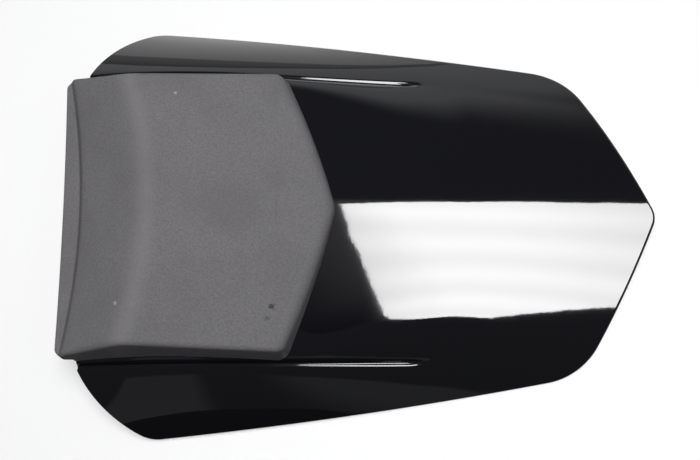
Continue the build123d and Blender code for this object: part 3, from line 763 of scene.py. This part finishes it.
class COWL_OT_shell(Operator):
    """Build the gloss black shell"""

    bl_idname = "cowl.shell"
    bl_label = "Shell"

    def execute(self, context):
        cowl = context.scene.cowl
        s, skin, sheet = cowl.shell, Skin(cowl.shell), Sheet()
        plan, closed = skin.outline()
        into = inward(plan)
        into[-1] = (-1.0, 0.0)
        rim = np.array([self.rim_strip(s, skin, *row) for row in zip(plan, into, closed)])
        sheet.mirrored(rim[:, :RIM_LAND + 1])
        sheet.mirrored(rim[:, RIM_LAND:])
        outer = [self.cross_line(skin, x, y, OUTER_COUNTS, 0.0) for x, y, _ in rim[:, 0]]
        inner = [self.cross_line(skin, x, y, INNER_COUNTS, -s.wall) for x, y, _ in rim[:, -1]]
        sheet.grid(outer)
        sheet.grid(inner, flip=True)
        self.front_wall(s, skin, sheet, outer[0], inner[0], rim[0, 1:RIM_LAND])
        self.bosses_and_ribs(s, cowl.fittings, skin, sheet)
        piece = sheet.piece("shell_skin")
        finish_piece(piece, gloss_black(cowl.finishes.shell_black), "cowl_shell")
        return {"FINISHED"}

    def rim_strip(self, s, skin, place, normal, shut):
        """Points from the skin round its edge, down the outside, across the rim's land and up the inside."""
        x, y = place
        radius = mix(s.wing_edge_radius, s.edge_radius, shut)

        def further_in(depth):
            return x + depth * normal[0], max(y + depth * normal[1], 0.0)

        near, far = [skin.height(x + d * normal[0], y + d * normal[1]) for d in (0.2 * radius, 1.2 * radius)]
        rise = atan2(float(far - near), radius)
        start = further_in(radius * (1 - sin(rise)))
        top = float(skin.height(*start))
        centre = top - radius * cos(rise)
        strip = [(*start, top)]
        for turn in np.linspace(pi / 2 - rise, 0, RIM_LAND)[1:]:
            strip.append((*further_in(radius * (1 - cos(turn))), centre + radius * sin(turn)))
        below = (1 - shut) * max(0.0, float(skin.height(x, y, -s.wall)))
        inside_wall = further_in(shut * s.wall)
        roof = max(float(skin.height(*inside_wall, -s.wall)), below)
        return [*strip, (x, y, below), (*inside_wall, below), (*inside_wall, roof)]

    def cross_line(self, skin, x, y, counts, shift):
        """Points from side to side at x, close together where the groove turns."""
        s = skin.s
        flat_count, soft_count, wing_count = counts
        valley = s.groove_span / 2 if x < skin.fade_x else s.groove_span / 2 * y / skin.side(skin.fade_x)
        valley = min(valley, y)
        soft = min(1.15 * s.groove_blend, (y - valley) * 0.6, valley * 0.2)
        stops = np.concatenate((
            np.linspace(0, valley - soft, flat_count, endpoint=False),
            np.linspace(valley - soft, valley + soft, soft_count, endpoint=False),
            np.linspace(valley + soft, y, wing_count),
        ))
        across = np.concatenate((-stops[:0:-1], stops))
        return np.column_stack((np.full(len(across), x), across, skin.height(x, across, shift)))

    def front_wall(self, s, skin, sheet, outer, inner, rounding):
        """Thickness of the skin along its front edge, and the wall under the hump with its top in the skin."""
        sheet.stitch(inner, np.vstack((rounding[::-1] * (1, -1, 1), outer, rounding)))
        line = inner[np.abs(inner[:, 1]) < s.groove_span / 2 - s.wall]
        top = line + (s.wall / 60, 0, s.wall / 2)
        foot = np.column_stack((top[:, :2], np.full(len(top), s.front_wall_foot)))
        back_foot = foot + (s.wall, 0, 0)
        behind = skin.height(back_foot[0, 0], line[:, 1], -s.wall) + s.wall / 2
        back = np.column_stack((back_foot[:, :2], behind))
        sheet.grid([foot, top, back, back_foot, foot])
        for end, flip in ((0, False), (-1, True)):
            sheet.grid([[foot[end], top[end]], [back_foot[end], back[end]]], flip)

    def bosses_and_ribs(self, s, fittings, skin, sheet):
        """Screw bosses and ribs that stand inside the shell."""
        for x, y, low in places("pan_screws", 4 * fittings.screw_head_radius):
            level = low + fittings.screw_head_height
            top = float(skin.height(x, y, -s.wall)) + s.wall / 2
            foot = level + fittings.pan_thickness
            deep = mix(foot, top, 0.7)
            outside = [(0.0, top), (s.boss_radius, top), (s.boss_radius, foot)]
            sheet.lathe([*outside, (s.boss_bore, foot), (s.boss_bore, deep), (0.0, deep)], 32, (x, y, 0.0))
            if y > 0 and level > s.rib_level:
                across = np.linspace(-y, y, 40)
                upper = skin.height(x, across, -s.wall) + s.wall / 2
                self.rib(sheet, np.column_stack((np.full(40, x), across)), upper, s.rib_foot, s.rib_width)
        start = fittings.pan_rear_end + s.tail_rib_gap
        for side, setback in ((s.tail_rib_spacing, 0.0), (-s.tail_rib_spacing, 0.0), (0.0, s.tail_rib_setback)):
            stop = skin.tail_x - s.tail_rib_end - 0.5 * abs(side)
            along = np.linspace(start + setback, stop, 24)
            upper = np.array([float(skin.height(x, side, -s.wall)) for x in along]) + s.wall / 2
            self.rib(sheet, np.column_stack((along, np.full(24, side))), upper, s.tail_rib_foot, s.rib_width)

    def rib(self, sheet, line, upper, foot, width):
        """Upright rib along a line, its top in the skin."""
        way = line[-1] - line[0]
        beside = np.array((-way[1], way[0])) / np.linalg.norm(way) * width / 2
        left, right = line + beside, line - beside
        low = np.full(len(line), foot)
        rows = [np.column_stack(part) for part in ((left, upper), (left, low), (right, low), (right, upper))]
        sheet.grid([*rows, rows[0]], flip=True)
        sheet.grid([[rows[0][0], rows[3][0]], [rows[1][0], rows[2][0]]])
        sheet.grid([[rows[1][-1], rows[2][-1]], [rows[0][-1], rows[3][-1]]])


def places(node, reach):
    """Middle and lower end of each of a CAD node's like solids, which stand further apart than reach."""
    groups = []
    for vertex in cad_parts[node].data.vertices:
        point = np.array(vertex.co)
        for group in groups:
            if np.linalg.norm(group[0][:2] - point[:2]) < reach:
                group.append(point)
                break
        else:
            groups.append([point])
    found = []
    for group in groups:
        low, high = np.min(group, 0), np.max(group, 0)
        found.append(((low[0] + high[0]) / 2, (low[1] + high[1]) / 2, low[2]))
    return found


class COWL_OT_pad(Operator):
    """Build the foam pad over the hump"""

    bl_idname = "cowl.pad"
    bl_label = "Foam pad"

    def execute(self, context):
        cowl = context.scene.cowl
        self.p, self.skin = cowl.pad, Skin(cowl.shell)
        p, skin, sheet = self.p, self.skin, Sheet()
        self.chevron_x = skin.front_x + p.chevron_tip_setback
        self.corner_x = self.chevron_x - p.chevron_depth
        self.step_x = skin.front_x + p.lip_depth
        self.slope_x = self.step_x + p.step_height * (1 / tan(p.step_slope) - 1 / tan(p.front_slope))
        past_tip, half_width = 0.01, 0.1
        xs = np.linspace(skin.shell_front_x, self.chevron_x + past_tip, 200)
        self.under = skin.field(xs, np.linspace(0, half_width, 300), p.glue_gap)
        plan, lean = self.outline()
        into = inward(plan)
        into[0], into[-1] = (1.0, 0.0), (-1.0, 0.0)
        strips = [self.edge_strip(x, y, normal, d) for (x, y), normal, d in zip(plan, into, lean)]
        top, bottom = [], []
        for strip in strips:
            top.append(self.cross_line(strip[0][0], strip[0][1], self.top))
            bottom.append(self.cross_line(strip[-1][0], strip[-1][1], self.floor))
            bottom[-1][0, 2] = bottom[-1][-1, 2] = strip[-1][2]
            strip[0] = tuple(top[-1][-1])
        sheet.grid(top)
        sheet.grid(bottom, flip=True)
        sheet.mirrored(strips)
        self.lip_front(sheet, strips[0], top[0], bottom[0])
        piece = sheet.piece("foam_pad", 50.0)
        finish_piece(piece, foam(cowl.finishes.foam_grey, skin.ridge_x), "bum_stop_pad")
        return {"FINISHED"}

    def half_foot(self, x):
        p = self.p
        return mix(p.front_span, p.rear_span, (x - self.skin.front_x) / (self.corner_x - self.skin.front_x)) / 2

    def deck(self, x):
        """Height on the centre line behind the ridge."""
        skin, p = self.skin, self.p
        part = (x - skin.ridge_x) / (self.chevron_x - skin.ridge_x)
        return mix(skin.deck(skin.ridge_x) + p.ridge_thickness, skin.deck(self.chevron_x) + p.tip_thickness, part)

    def top(self, x, y):
        """Height of the pad's upper side."""
        p = self.p
        middle = self.deck(x)
        edge = self.half_foot(x) - (middle - p.crown - p.foot) * tan(p.draft)
        deck = middle - p.crown * (y / edge) ** 2
        hollow = p.front_bow * (2 * y / p.front_span) ** 2
        slope = p.lip_height + (x - self.slope_x + hollow) * tan(p.front_slope)
        step = p.lip_height + (x - self.step_x + hollow) * tan(p.step_slope)
        body = soft_min(soft_min(deck, slope, p.ridge_softness), step, p.step_softness)
        crease = p.crease_depth * np.exp(-(((x - self.step_x + hollow) / p.crease_reach) ** 2))
        return soft_max(body, p.lip_height, p.step_softness) - crease

    def floor(self, x, y):
        """Height of the pad's underside."""
        p = self.p
        return np.where(x < self.skin.shell_front_x + 1e-4, p.lip_height - p.lip_thickness, self.under(x, y))

    def bow(self, x):
        """Hollow of the cross line that meets the side at x."""
        p = self.p
        foot, even = self.step_x - p.front_bow, 0.006
        stops = (self.skin.front_x, foot, foot + even, self.skin.ridge_x - p.ridge_bow, self.corner_x)
        return np.interp(x, stops, (p.lip_bow, p.front_bow, p.front_bow, p.ridge_bow, 0.0))

    def cross_line(self, x, y, height):
        """Points from side to side on a hollow line that ends at a place on the edge, closer together there."""
        quarter = 0.92 * pi / 2
        across = y * np.sin(np.linspace(-quarter, quarter, 141)) / sin(quarter)
        along = x + self.bow(x) * (1 - (across / max(y, 1e-9)) ** 2)
        return np.column_stack((along, across, height(along, across)))

    def side(self, x):
        """Half width where the upper side meets the leaning side."""
        y = self.half_foot(x)
        for _ in range(12):
            y = self.half_foot(x) - (float(self.top(x, y)) - self.p.foot) * tan(self.p.draft)
        return y

    def outline(self):
        """Half plan from the lip's front edge round the side to the tip of the chevron, and the side's lean."""
        p, skin, past_corner = self.p, self.skin, 0.004

        def side(t):
            x = mix(skin.front_x, self.corner_x + past_corner, t)
            return np.array((x, self.side(x)))

        def front(t):
            return np.array((skin.front_x, mix(0.8, 1.0, t) * self.side(skin.front_x)))

        def chevron(t):
            u = 1.05 * (1 - t)
            x = self.chevron_x - p.rear_inset - p.chevron_depth * u + 4 * p.chevron_bow * u * (1 - u)
            return np.array((x, u * p.rear_span / 2))

        front_end, side_start, front_centre = round_corner(front, side, p.lip_corner_radius)
        side_end, chevron_start, corner_centre = round_corner(side, chevron, p.chevron_corner_radius)
        chevron_end, tip_centre = touching_tip(chevron, p.chevron_tip_radius)
        tip = tip_centre + np.array((p.chevron_tip_radius, 0.0))
        near = np.linspace(0, 1, 90) ** 1.5
        stretches = [
            arc_between(front(front_end), side(side_start), front_centre, 18),
            [side(mix(side_start, side_end, t)) for t in near],
            arc_between(side(side_end), chevron(chevron_start), corner_centre, 16),
            [chevron(t) for t in np.linspace(chevron_start, chevron_end, 50)],
            arc_between(chevron(chevron_end), tip, tip_centre, 14),
        ]
        turning = [np.zeros(18), np.zeros(90), ramp(np.arange(16), 0, 15), np.ones(50), np.ones(14)]
        return joined(stretches), mix(p.draft, p.rear_draft, joined(turning))

    def edge_strip(self, x, y, normal, lean):
        """Rounded edge and side from the upper side down to the shell."""
        p = self.p
        out = -normal
        past_step = 0.004
        behind_lip = float(ramp(x, self.step_x - p.front_bow, self.step_x + past_step))
        radius = mix(p.lip_edge_radius, p.edge_radius, behind_lip)
        radius = mix(radius, p.rear_edge_radius, (lean - p.draft) / (p.rear_draft - p.draft))
        height = float(self.top(x, y))
        inner = float(self.top(x + normal[0] * radius, y + normal[1] * radius))
        fall = atan2(inner - height, radius)
        side_way, top_way = np.array((cos(lean), sin(lean))), np.array((sin(fall), cos(fall)))
        centre = np.array((0.0, height)) - radius * (side_way + top_way) / (1 + side_way @ top_way)
        strip = []
        for turn in np.linspace(pi / 2 - fall, lean, 10):
            o, z = centre + radius * np.array((cos(turn), sin(turn)))
            strip.append((x + o * out[0], max(y + o * out[1], 0.0), z))
        o, z = centre + radius * side_way
        low = p.lip_height - p.lip_thickness
        for _ in range(20):
            reach = o + (z - low) * tan(lean)
            low = float(self.floor(x + reach * out[0], y + reach * out[1]))
        for part in (0.25, 0.5, 0.75, 1.0):
            level = mix(z, low, part)
            reach = o + (z - level) * tan(lean)
            strip.append((x + reach * out[0], max(y + reach * out[1], 0.0), level))
        return strip

    def lip_front(self, sheet, strip, top, bottom):
        """Rounded front edge of the lip between its two corners."""
        part = top[:, 1] / abs(top[0, 1])
        rows = [top]
        for x, y, z in strip[1:-1]:
            rows.append(np.column_stack((x + self.bow(x) * (1 - part**2), y * part, np.full(len(part), z))))
        sheet.grid([*rows, bottom], flip=True)


class COWL_OT_base(Operator):
    """Finish the moulded base, the striker and its nuts"""

    bl_idname = "cowl.base"
    bl_label = "Base and striker"

    def execute(self, context):
        finishes = context.scene.cowl.finishes
        metal = zinc_plate("striker_zinc", finishes.zinc)
        dress(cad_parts["base_pan"], moulded_black(finishes.base_black))
        for node in ("latch_striker", "striker_nuts"):
            dress(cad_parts[node], metal)
        return {"FINISHED"}


def placing_tree():
    """Node group that puts a fitting on every point of a piece, each turned its own way."""
    tree = bpy.data.node_groups.new("place_fittings", "GeometryNodeTree")
    inputs = {"Points": "Geometry", "Fitting": "Object", "Largest turn": "Float", "Seed": "Int", "Finish": "Material"}
    sockets = {}
    for name, kind in inputs.items():
        sockets[name] = tree.interface.new_socket(name, in_out="INPUT", socket_type="NodeSocket" + kind)
    sockets["Largest turn"].subtype = "ANGLE"
    tree.interface.new_socket("Fittings", in_out="OUTPUT", socket_type="NodeSocketGeometry")
    start, end, source, turned, around, spread, real, dressed = [tree.nodes.new(kind) for kind in (
        "NodeGroupInput", "NodeGroupOutput", "GeometryNodeObjectInfo", "FunctionNodeRandomValue",
        "ShaderNodeCombineXYZ", "GeometryNodeInstanceOnPoints", "GeometryNodeRealizeInstances",
        "GeometryNodeSetMaterial",
    )]
    largest = [socket for socket in turned.inputs if socket.name == "Max" and socket.type == "VALUE"][0]
    turn = [socket for socket in turned.outputs if socket.type == "VALUE"][0]
    for output, socket in (
        (start.outputs["Fitting"], source.inputs["Object"]),
        (start.outputs["Largest turn"], largest),
        (start.outputs["Seed"], turned.inputs["Seed"]),
        (turn, around.inputs["Z"]),
        (start.outputs["Points"], spread.inputs["Points"]),
        (source.outputs["Geometry"], spread.inputs["Instance"]),
        (around.outputs[0], spread.inputs["Rotation"]),
        (spread.outputs[0], real.inputs[0]),
        (real.outputs[0], dressed.inputs["Geometry"]),
        (start.outputs["Finish"], dressed.inputs["Material"]),
        (dressed.outputs[0], end.inputs[0]),
    ):
        tree.links.new(output, socket)
    return tree


def changed_mesh(piece):
    """Plain mesh of a piece as its modifiers make it. The modifiers are removed."""
    result = bpy.data.meshes.new_from_object(piece.evaluated_get(bpy.context.evaluated_depsgraph_get()))
    piece.modifiers.clear()
    return result


def discard(*pieces):
    for piece in pieces:
        mesh = piece.data
        bpy.data.objects.remove(piece)
        bpy.data.meshes.remove(mesh)


def place_fittings(name, pattern, places, largest_turn, seed, material):
    """A piece made of one pattern on every place."""
    tree = bpy.data.node_groups.get("place_fittings") or placing_tree()
    mesh = bpy.data.meshes.new(name + "_points")
    mesh.from_pydata([tuple(map(float, place)) for place in places], [], [])
    holder = show(name + "_points", mesh)
    spread = holder.modifiers.new("fittings", "NODES")
    spread.node_group = tree
    values = {"Fitting": pattern, "Largest turn": largest_turn, "Seed": seed, "Finish": material}
    for item in tree.interface.items_tree:
        if item.in_out == "INPUT" and item.name in values:
            spread[item.identifier] = values[item.name]
    result = changed_mesh(holder)
    result.name = name
    discard(holder, pattern)
    return show(name, result)


def cut(piece, cutter):
    """Takes one closed piece out of another."""
    change = piece.modifiers.new("cut", "BOOLEAN")
    change.operation, change.solver, change.object = "DIFFERENCE", "EXACT", cutter
    old, piece.data = piece.data, changed_mesh(piece)
    bpy.data.meshes.remove(old)
    discard(cutter)
    weld(piece.data)
    smooth(piece.data, 35.0)


class COWL_OT_screws(Operator):
    """Build the cross-recess screws that hold the base"""

    bl_idname = "cowl.screws"
    bl_label = "Base screws"

    def execute(self, context):
        cowl = context.scene.cowl
        f, sheet = cowl.fittings, Sheet()
        r, h, end = f.screw_head_radius, f.screw_head_height, f.screw_length
        dome = [(r * sin(t), -0.4 * h - 0.6 * h * cos(t)) for t in np.linspace(0.02, pi / 2, 12)]
        shank = [(f.screw_radius, 0.0), (f.screw_radius, 0.8 * end), (2e-4, end), (0.0, end)]
        sheet.lathe([(0.0, -h), *dome, (r, -0.1 * h), (0.96 * r, 0.0), *shank][::-1], 40)
        pattern = sheet.piece("screw_pattern", 40.0)
        half, thin = f.screw_slot_length / 2, f.screw_slot_width / 2
        for x, y in ((half, thin), (thin, half)):
            recess = Sheet()
            recess.box((-x, -y, -2 * h), (x, y, f.screw_slot_depth - h))
            cut(pattern, recess.piece("recess"))
        seats = [(x, y, low + h) for x, y, low in places("pan_screws", 4 * r)]
        metal = zinc_plate("screw_zinc", cowl.finishes.zinc)
        piece = place_fittings("base_screws", pattern, seats, pi / 2, f.turn_seed, metal)
        finish_piece(piece, metal, "pan_screws")
        return {"FINISHED"}


class COWL_OT_bolts(Operator):
    """Build the flanged bolts of the striker"""

    bl_idname = "cowl.bolts"
    bl_label = "Striker bolts"

    def execute(self, context):
        cowl = context.scene.cowl
        f, sheet = cowl.fittings, Sheet()
        r, t, h = f.bolt_flange_radius, f.bolt_flange_height, f.bolt_head_height
        thread, end, bevel, sunk = f.bolt_radius, f.bolt_length, 6e-4, 1e-4
        top = [(0.0, -t - sunk), (0.7 * r, -t - sunk), (0.96 * r, -0.55 * t)]
        edge = [(r, -0.4 * t), (r, -0.1 * t), (0.97 * r, 0.0)]
        shank = [(thread, 0.0), (thread, end - bevel), (thread - bevel, end), (0.0, end)]
        sheet.lathe([*top, *edge, *shank][::-1], 48)
        self.hexagon(sheet, f.bolt_head_size / 2, -t, -t - h)
        pattern = sheet.piece("bolt_pattern", 30.0)
        seats = [(x, y, low + h + t) for x, y, low in places("striker_bolts", 3 * r)]
        metal = zinc_plate("bolt_zinc", cowl.finishes.zinc)
        piece = place_fittings("striker_hex_bolts", pattern, seats, pi / 3, f.turn_seed + 1, metal)
        finish_piece(piece, metal, "striker_bolts")
        return {"FINISHED"}

    def hexagon(self, sheet, apothem, top, low):
        """Hexagon head whose corners are turned off at its outer end."""
        turns = np.linspace(0, 2 * pi, 61)
        reach = apothem / np.cos((turns + pi / 6) % (pi / 3) - pi / 6)
        face = np.minimum(reach, 0.95 * apothem)
        dish = np.minimum(reach, 0.95 / 1.44 * apothem)
        bevel = low + 0.35 * (reach - 0.95 * apothem)
        hollow = low + 2e-4
        rings = ((0 * reach, top), (reach, top), (reach, bevel), (face, low), (dish, low), (0 * reach, hollow))
        sheet.grid([np.column_stack((r * np.cos(turns), r * np.sin(turns), 0 * r + z)) for r, z in rings])


class COWL_OT_feet(Operator):
    """Build the rubber feet"""

    bl_idname = "cowl.feet"
    bl_label = "Rubber feet"

    def execute(self, context):
        cowl = context.scene.cowl
        f = cowl.fittings
        found = places("rubber_bumpers", 2.5 * f.bumper_radius)
        middle = sum(x for x, y, low in found) / len(found)
        material = rubber(cowl.finishes.rubber_black)
        rows = {"front_feet": (f.bumper_front_height, [p for p in found if p[0] < middle]),
                "rear_feet": (f.bumper_rear_height, [p for p in found if p[0] > middle])}
        for name, (height, spots) in rows.items():
            pattern = self.foot(f, height)
            seats = [(x, y, low + height) for x, y, low in spots]
            piece = place_fittings(name, pattern, seats, 2 * pi, f.turn_seed + 2, material)
            finish_piece(piece, material, "rubber_bumpers")
        return {"FINISHED"}

    def foot(self, f, height):
        """One foot: tapered body with a soft edge and a dimple, neck and barb above."""
        r, small, neck = f.bumper_radius, f.bumper_radius - f.bumper_taper, f.bumper_neck
        edge = 1.4e-3
        low = [(0.0, 9e-4 - height), (0.18 * small, 8e-4 - height), (0.28 * small, -height), (small - edge, -height)]
        turn = [(small - edge * (1 - sin(t)), edge * (1 - cos(t)) - height) for t in np.linspace(0.2, pi / 2, 7)]
        body = [(r - 3e-4, -4e-4), (r - 6e-4, 0.0), (neck, 0.0)]
        seat, tip = 3.2e-3, 7.0e-3
        barb = [(neck, seat), (neck + 1.5e-3, seat), (neck + 1.4e-3, seat + 8e-4), (neck - 1.6e-3, tip), (0.0, tip)]
        sheet = Sheet()
        sheet.lathe([*low, *turn, *body, *barb][::-1], 48)
        return sheet.piece("foot_pattern", 40.0)


class COWL_OT_stage(Operator):
    """Set the table, the lights and the camera"""

    bl_idname = "cowl.stage"
    bl_label = "Stage"

    def execute(self, context):
        cowl = context.scene.cowl
        self.camera(context.scene, cowl.stage)
        self.table(cowl)
        self.softbox(cowl.stage)
        self.lamp(context.scene, cowl.stage)
        self.room(context.scene, cowl.stage)
        context.scene.view_settings.view_transform = "Standard"
        return {"FINISHED"}

    def camera(self, scene, stage):
        a, e = stage.azimuth, stage.elevation
        back = Vector((sin(a) * cos(e), -cos(a) * cos(e), sin(e)))
        right = (-back).cross(Vector((0, 0, 1))).normalized()
        up = right.cross(-back)
        turn, lean = cos(stage.roll), sin(stage.roll)
        rolled = Matrix((turn * right + lean * up, turn * up - lean * right, back)).transposed().to_4x4()
        lens = bpy.data.cameras.new("camera")
        lens.sensor_width, lens.lens, lens.clip_start = 36.0, stage.focal, 0.01
        view = bpy.data.objects.new("camera", lens)
        target = Vector((stage.target_x, stage.target_y, 0))
        view.matrix_world = Matrix.Translation(target + stage.distance * back) @ rolled
        scene.collection.objects.link(view)
        scene.camera = view

    def table(self, cowl):
        """White table that keeps a painted shadow in its reflections and bounce light: dark just outside the near
        rim, and dimmer past its far end.
        """
        sheet, reach, low = Sheet(), 3.0, -0.0003
        sheet.grid([[(x, y, low) for y in (-reach, reach)] for x in (-reach, reach)])
        floor = sheet.piece("table")
        finish = Finish("table_white", cowl.finishes.floor_white, 0.6)
        x, y, _ = finish.axes(finish.node("ShaderNodeTexCoord", {}, {}, "Object"))
        seen = finish.node("ShaderNodeLightPath", {}, {}, "Is Camera Ray")
        mirrored = finish.node("ShaderNodeLightPath", {}, {}, "Is Glossy Ray")
        lit, white, dark = Value(finish, finish.shader.outputs[0]), finish.light(1.0), finish.light(0.02)
        glowing = finish.between((seen + mirrored) * cowl.stage.floor_glow, lit, white)
        # Painted shadow: outside the near rim the table is dark for every ray except camera rays. Past its far end it
        # is only partly dark.
        near_shadow_edge, far_end = (-0.118, -0.125), (0.26, 0.28)
        along_rim = y - (x + 0.10).math("MAXIMUM", 0.0) * 0.134
        ends = (along_rim.step(*near_shadow_edge) + y.step(*far_end) * 0.5) * (1 - seen)
        finish.surface(finish.between(ends, glowing, dark))
        dress(floor, finish.material)

    def softbox(self, stage):
        """Cloth of a softbox whose tubes show a little through it, and the dim glow beside it."""
        finish = Finish("softbox_cloth", (1.0, 1.0, 1.0), 0.8)
        x, y, _ = finish.axes(finish.node("ShaderNodeTexCoord", {}, {}, "Object"))
        tubes = ((y - stage.tube_start) * (2 * pi / stage.tube_spacing)).math("COSINE")
        edge = (x + y * 0.2).step(0.27, 0.42)
        level = (0.8 + edge * 0.2) * (1 - x.step(0.5, 1.0) * 0.22) * (0.96 + tubes * 0.04)
        finish.surface(finish.light(level * stage.softbox_strength))
        self.card("softbox", [(x, y, stage.softbox_height) for x, y in SOFTBOX_CORNERS], finish.material)
        glow = Finish("softbox_rim", (1.0, 1.0, 1.0), 0.8)
        x, y, _ = glow.axes(glow.node("ShaderNodeTexCoord", {}, {}, "Object"))
        glow.surface(glow.light((x + y * 0.2).step(0.10, 0.30) * y.step(-0.56, -0.02) * 0.42))
        beside, above = 0.16, 0.01
        rim = [(x - beside, y, stage.softbox_height + above) for x, y in SOFTBOX_CORNERS]
        self.card("softbox_rim", rim, glow.material)

    def card(self, name, corners, material):
        """Flat card over the table that only shows as a reflection."""
        mesh = bpy.data.meshes.new(name)
        mesh.from_pydata(corners, [], [range(len(corners))])
        mesh.materials.append(material)
        card = show(name, mesh)
        card.visible_diffuse = card.visible_shadow = False

    def lamp(self, scene, stage):
        """Large soft lamp over the cowl that doesn't show as a reflection."""
        light = bpy.data.lights.new("overhead_lamp", "AREA")
        light.shape, light.size, light.energy = "DISK", stage.lamp_size, stage.lamp_power
        lamp = bpy.data.objects.new("overhead_lamp", light)
        place = Vector((stage.lamp_x, stage.lamp_y, stage.lamp_height))
        lamp.matrix_world = Matrix.Translation(place) @ place.to_track_quat("Z", "Y").to_matrix().to_4x4()
        lamp.visible_glossy = False
        scene.collection.objects.link(lamp)

    def room(self, scene, stage):
        """Dim room with a pale wall behind the table and two dim panes in front of it."""
        world = bpy.data.worlds.new("room")
        world.use_nodes = True
        scene.world = world
        tree = Tree(world.node_tree)
        sky = tree.nodes["Background"]
        tree.join(sky.inputs["Color"], (0.97, 0.98, 1.0, 1.0))
        x, y, z = tree.axes(tree.node("ShaderNodeTexCoord", {}, {}, "Generated"))
        rise = z - x.math("MAXIMUM", 0.0) * 0.8
        wall = rise.step(0.26, 0.04) * y.step(0.2, 0.7)
        left_pane = x.step(-0.34, -0.31) * x.step(-0.01, -0.08)
        right_pane = x.step(0.10, 0.24) * x.step(0.31, 0.29)
        panes = (left_pane + right_pane) * y.step(-0.4, -0.7) * z.step(0.43, 0.40)
        tree.join(sky.inputs["Strength"], wall * stage.backdrop + panes * stage.panes + stage.room)


class COWL_PT_panel(Panel):
    """Operators and sizes of the seat cowl"""

    bl_idname = "COWL_PT_panel"
    bl_label = "Seat cowl"
    bl_space_type = "VIEW_3D"
    bl_region_type = "UI"
    bl_category = "Seat cowl"

    def draw(self, context):
        layout = self.layout
        for operator in OPERATORS:
            layout.operator(operator.bl_idname)
        cowl = context.scene.cowl
        for group in (cowl.shell, cowl.pad, cowl.fittings, cowl.finishes, cowl.stage):
            box = layout.box()
            for name in group.__annotations__:
                box.prop(group, name)


class CowlSettings(PropertyGroup):
    """All settings of the seat cowl."""

    shell: PointerProperty(type=ShellSizes)
    pad: PointerProperty(type=PadSizes)
    fittings: PointerProperty(type=FittingSizes)
    finishes: PointerProperty(type=Finishes)
    stage: PointerProperty(type=StageSettings)


GROUPS = (ShellSizes, PadSizes, FittingSizes, Finishes, StageSettings, CowlSettings)
OPERATORS = (
    COWL_OT_shell, COWL_OT_pad, COWL_OT_base, COWL_OT_screws, COWL_OT_bolts, COWL_OT_feet, COWL_OT_stage
)


def register():
    for cls in (*GROUPS, *OPERATORS, COWL_PT_panel):
        bpy.utils.register_class(cls)
    bpy.types.Scene.cowl = PointerProperty(type=CowlSettings)


def unregister():
    del bpy.types.Scene.cowl
    for cls in reversed((*GROUPS, *OPERATORS, COWL_PT_panel)):
        bpy.utils.unregister_class(cls)


def main():
    register()
    bpy.ops.cowl.shell()
    bpy.ops.cowl.pad()
    bpy.ops.cowl.base()
    bpy.ops.cowl.screws()
    bpy.ops.cowl.bolts()
    bpy.ops.cowl.feet()
    bpy.ops.cowl.stage()


if __name__ == "__main__":
    main()
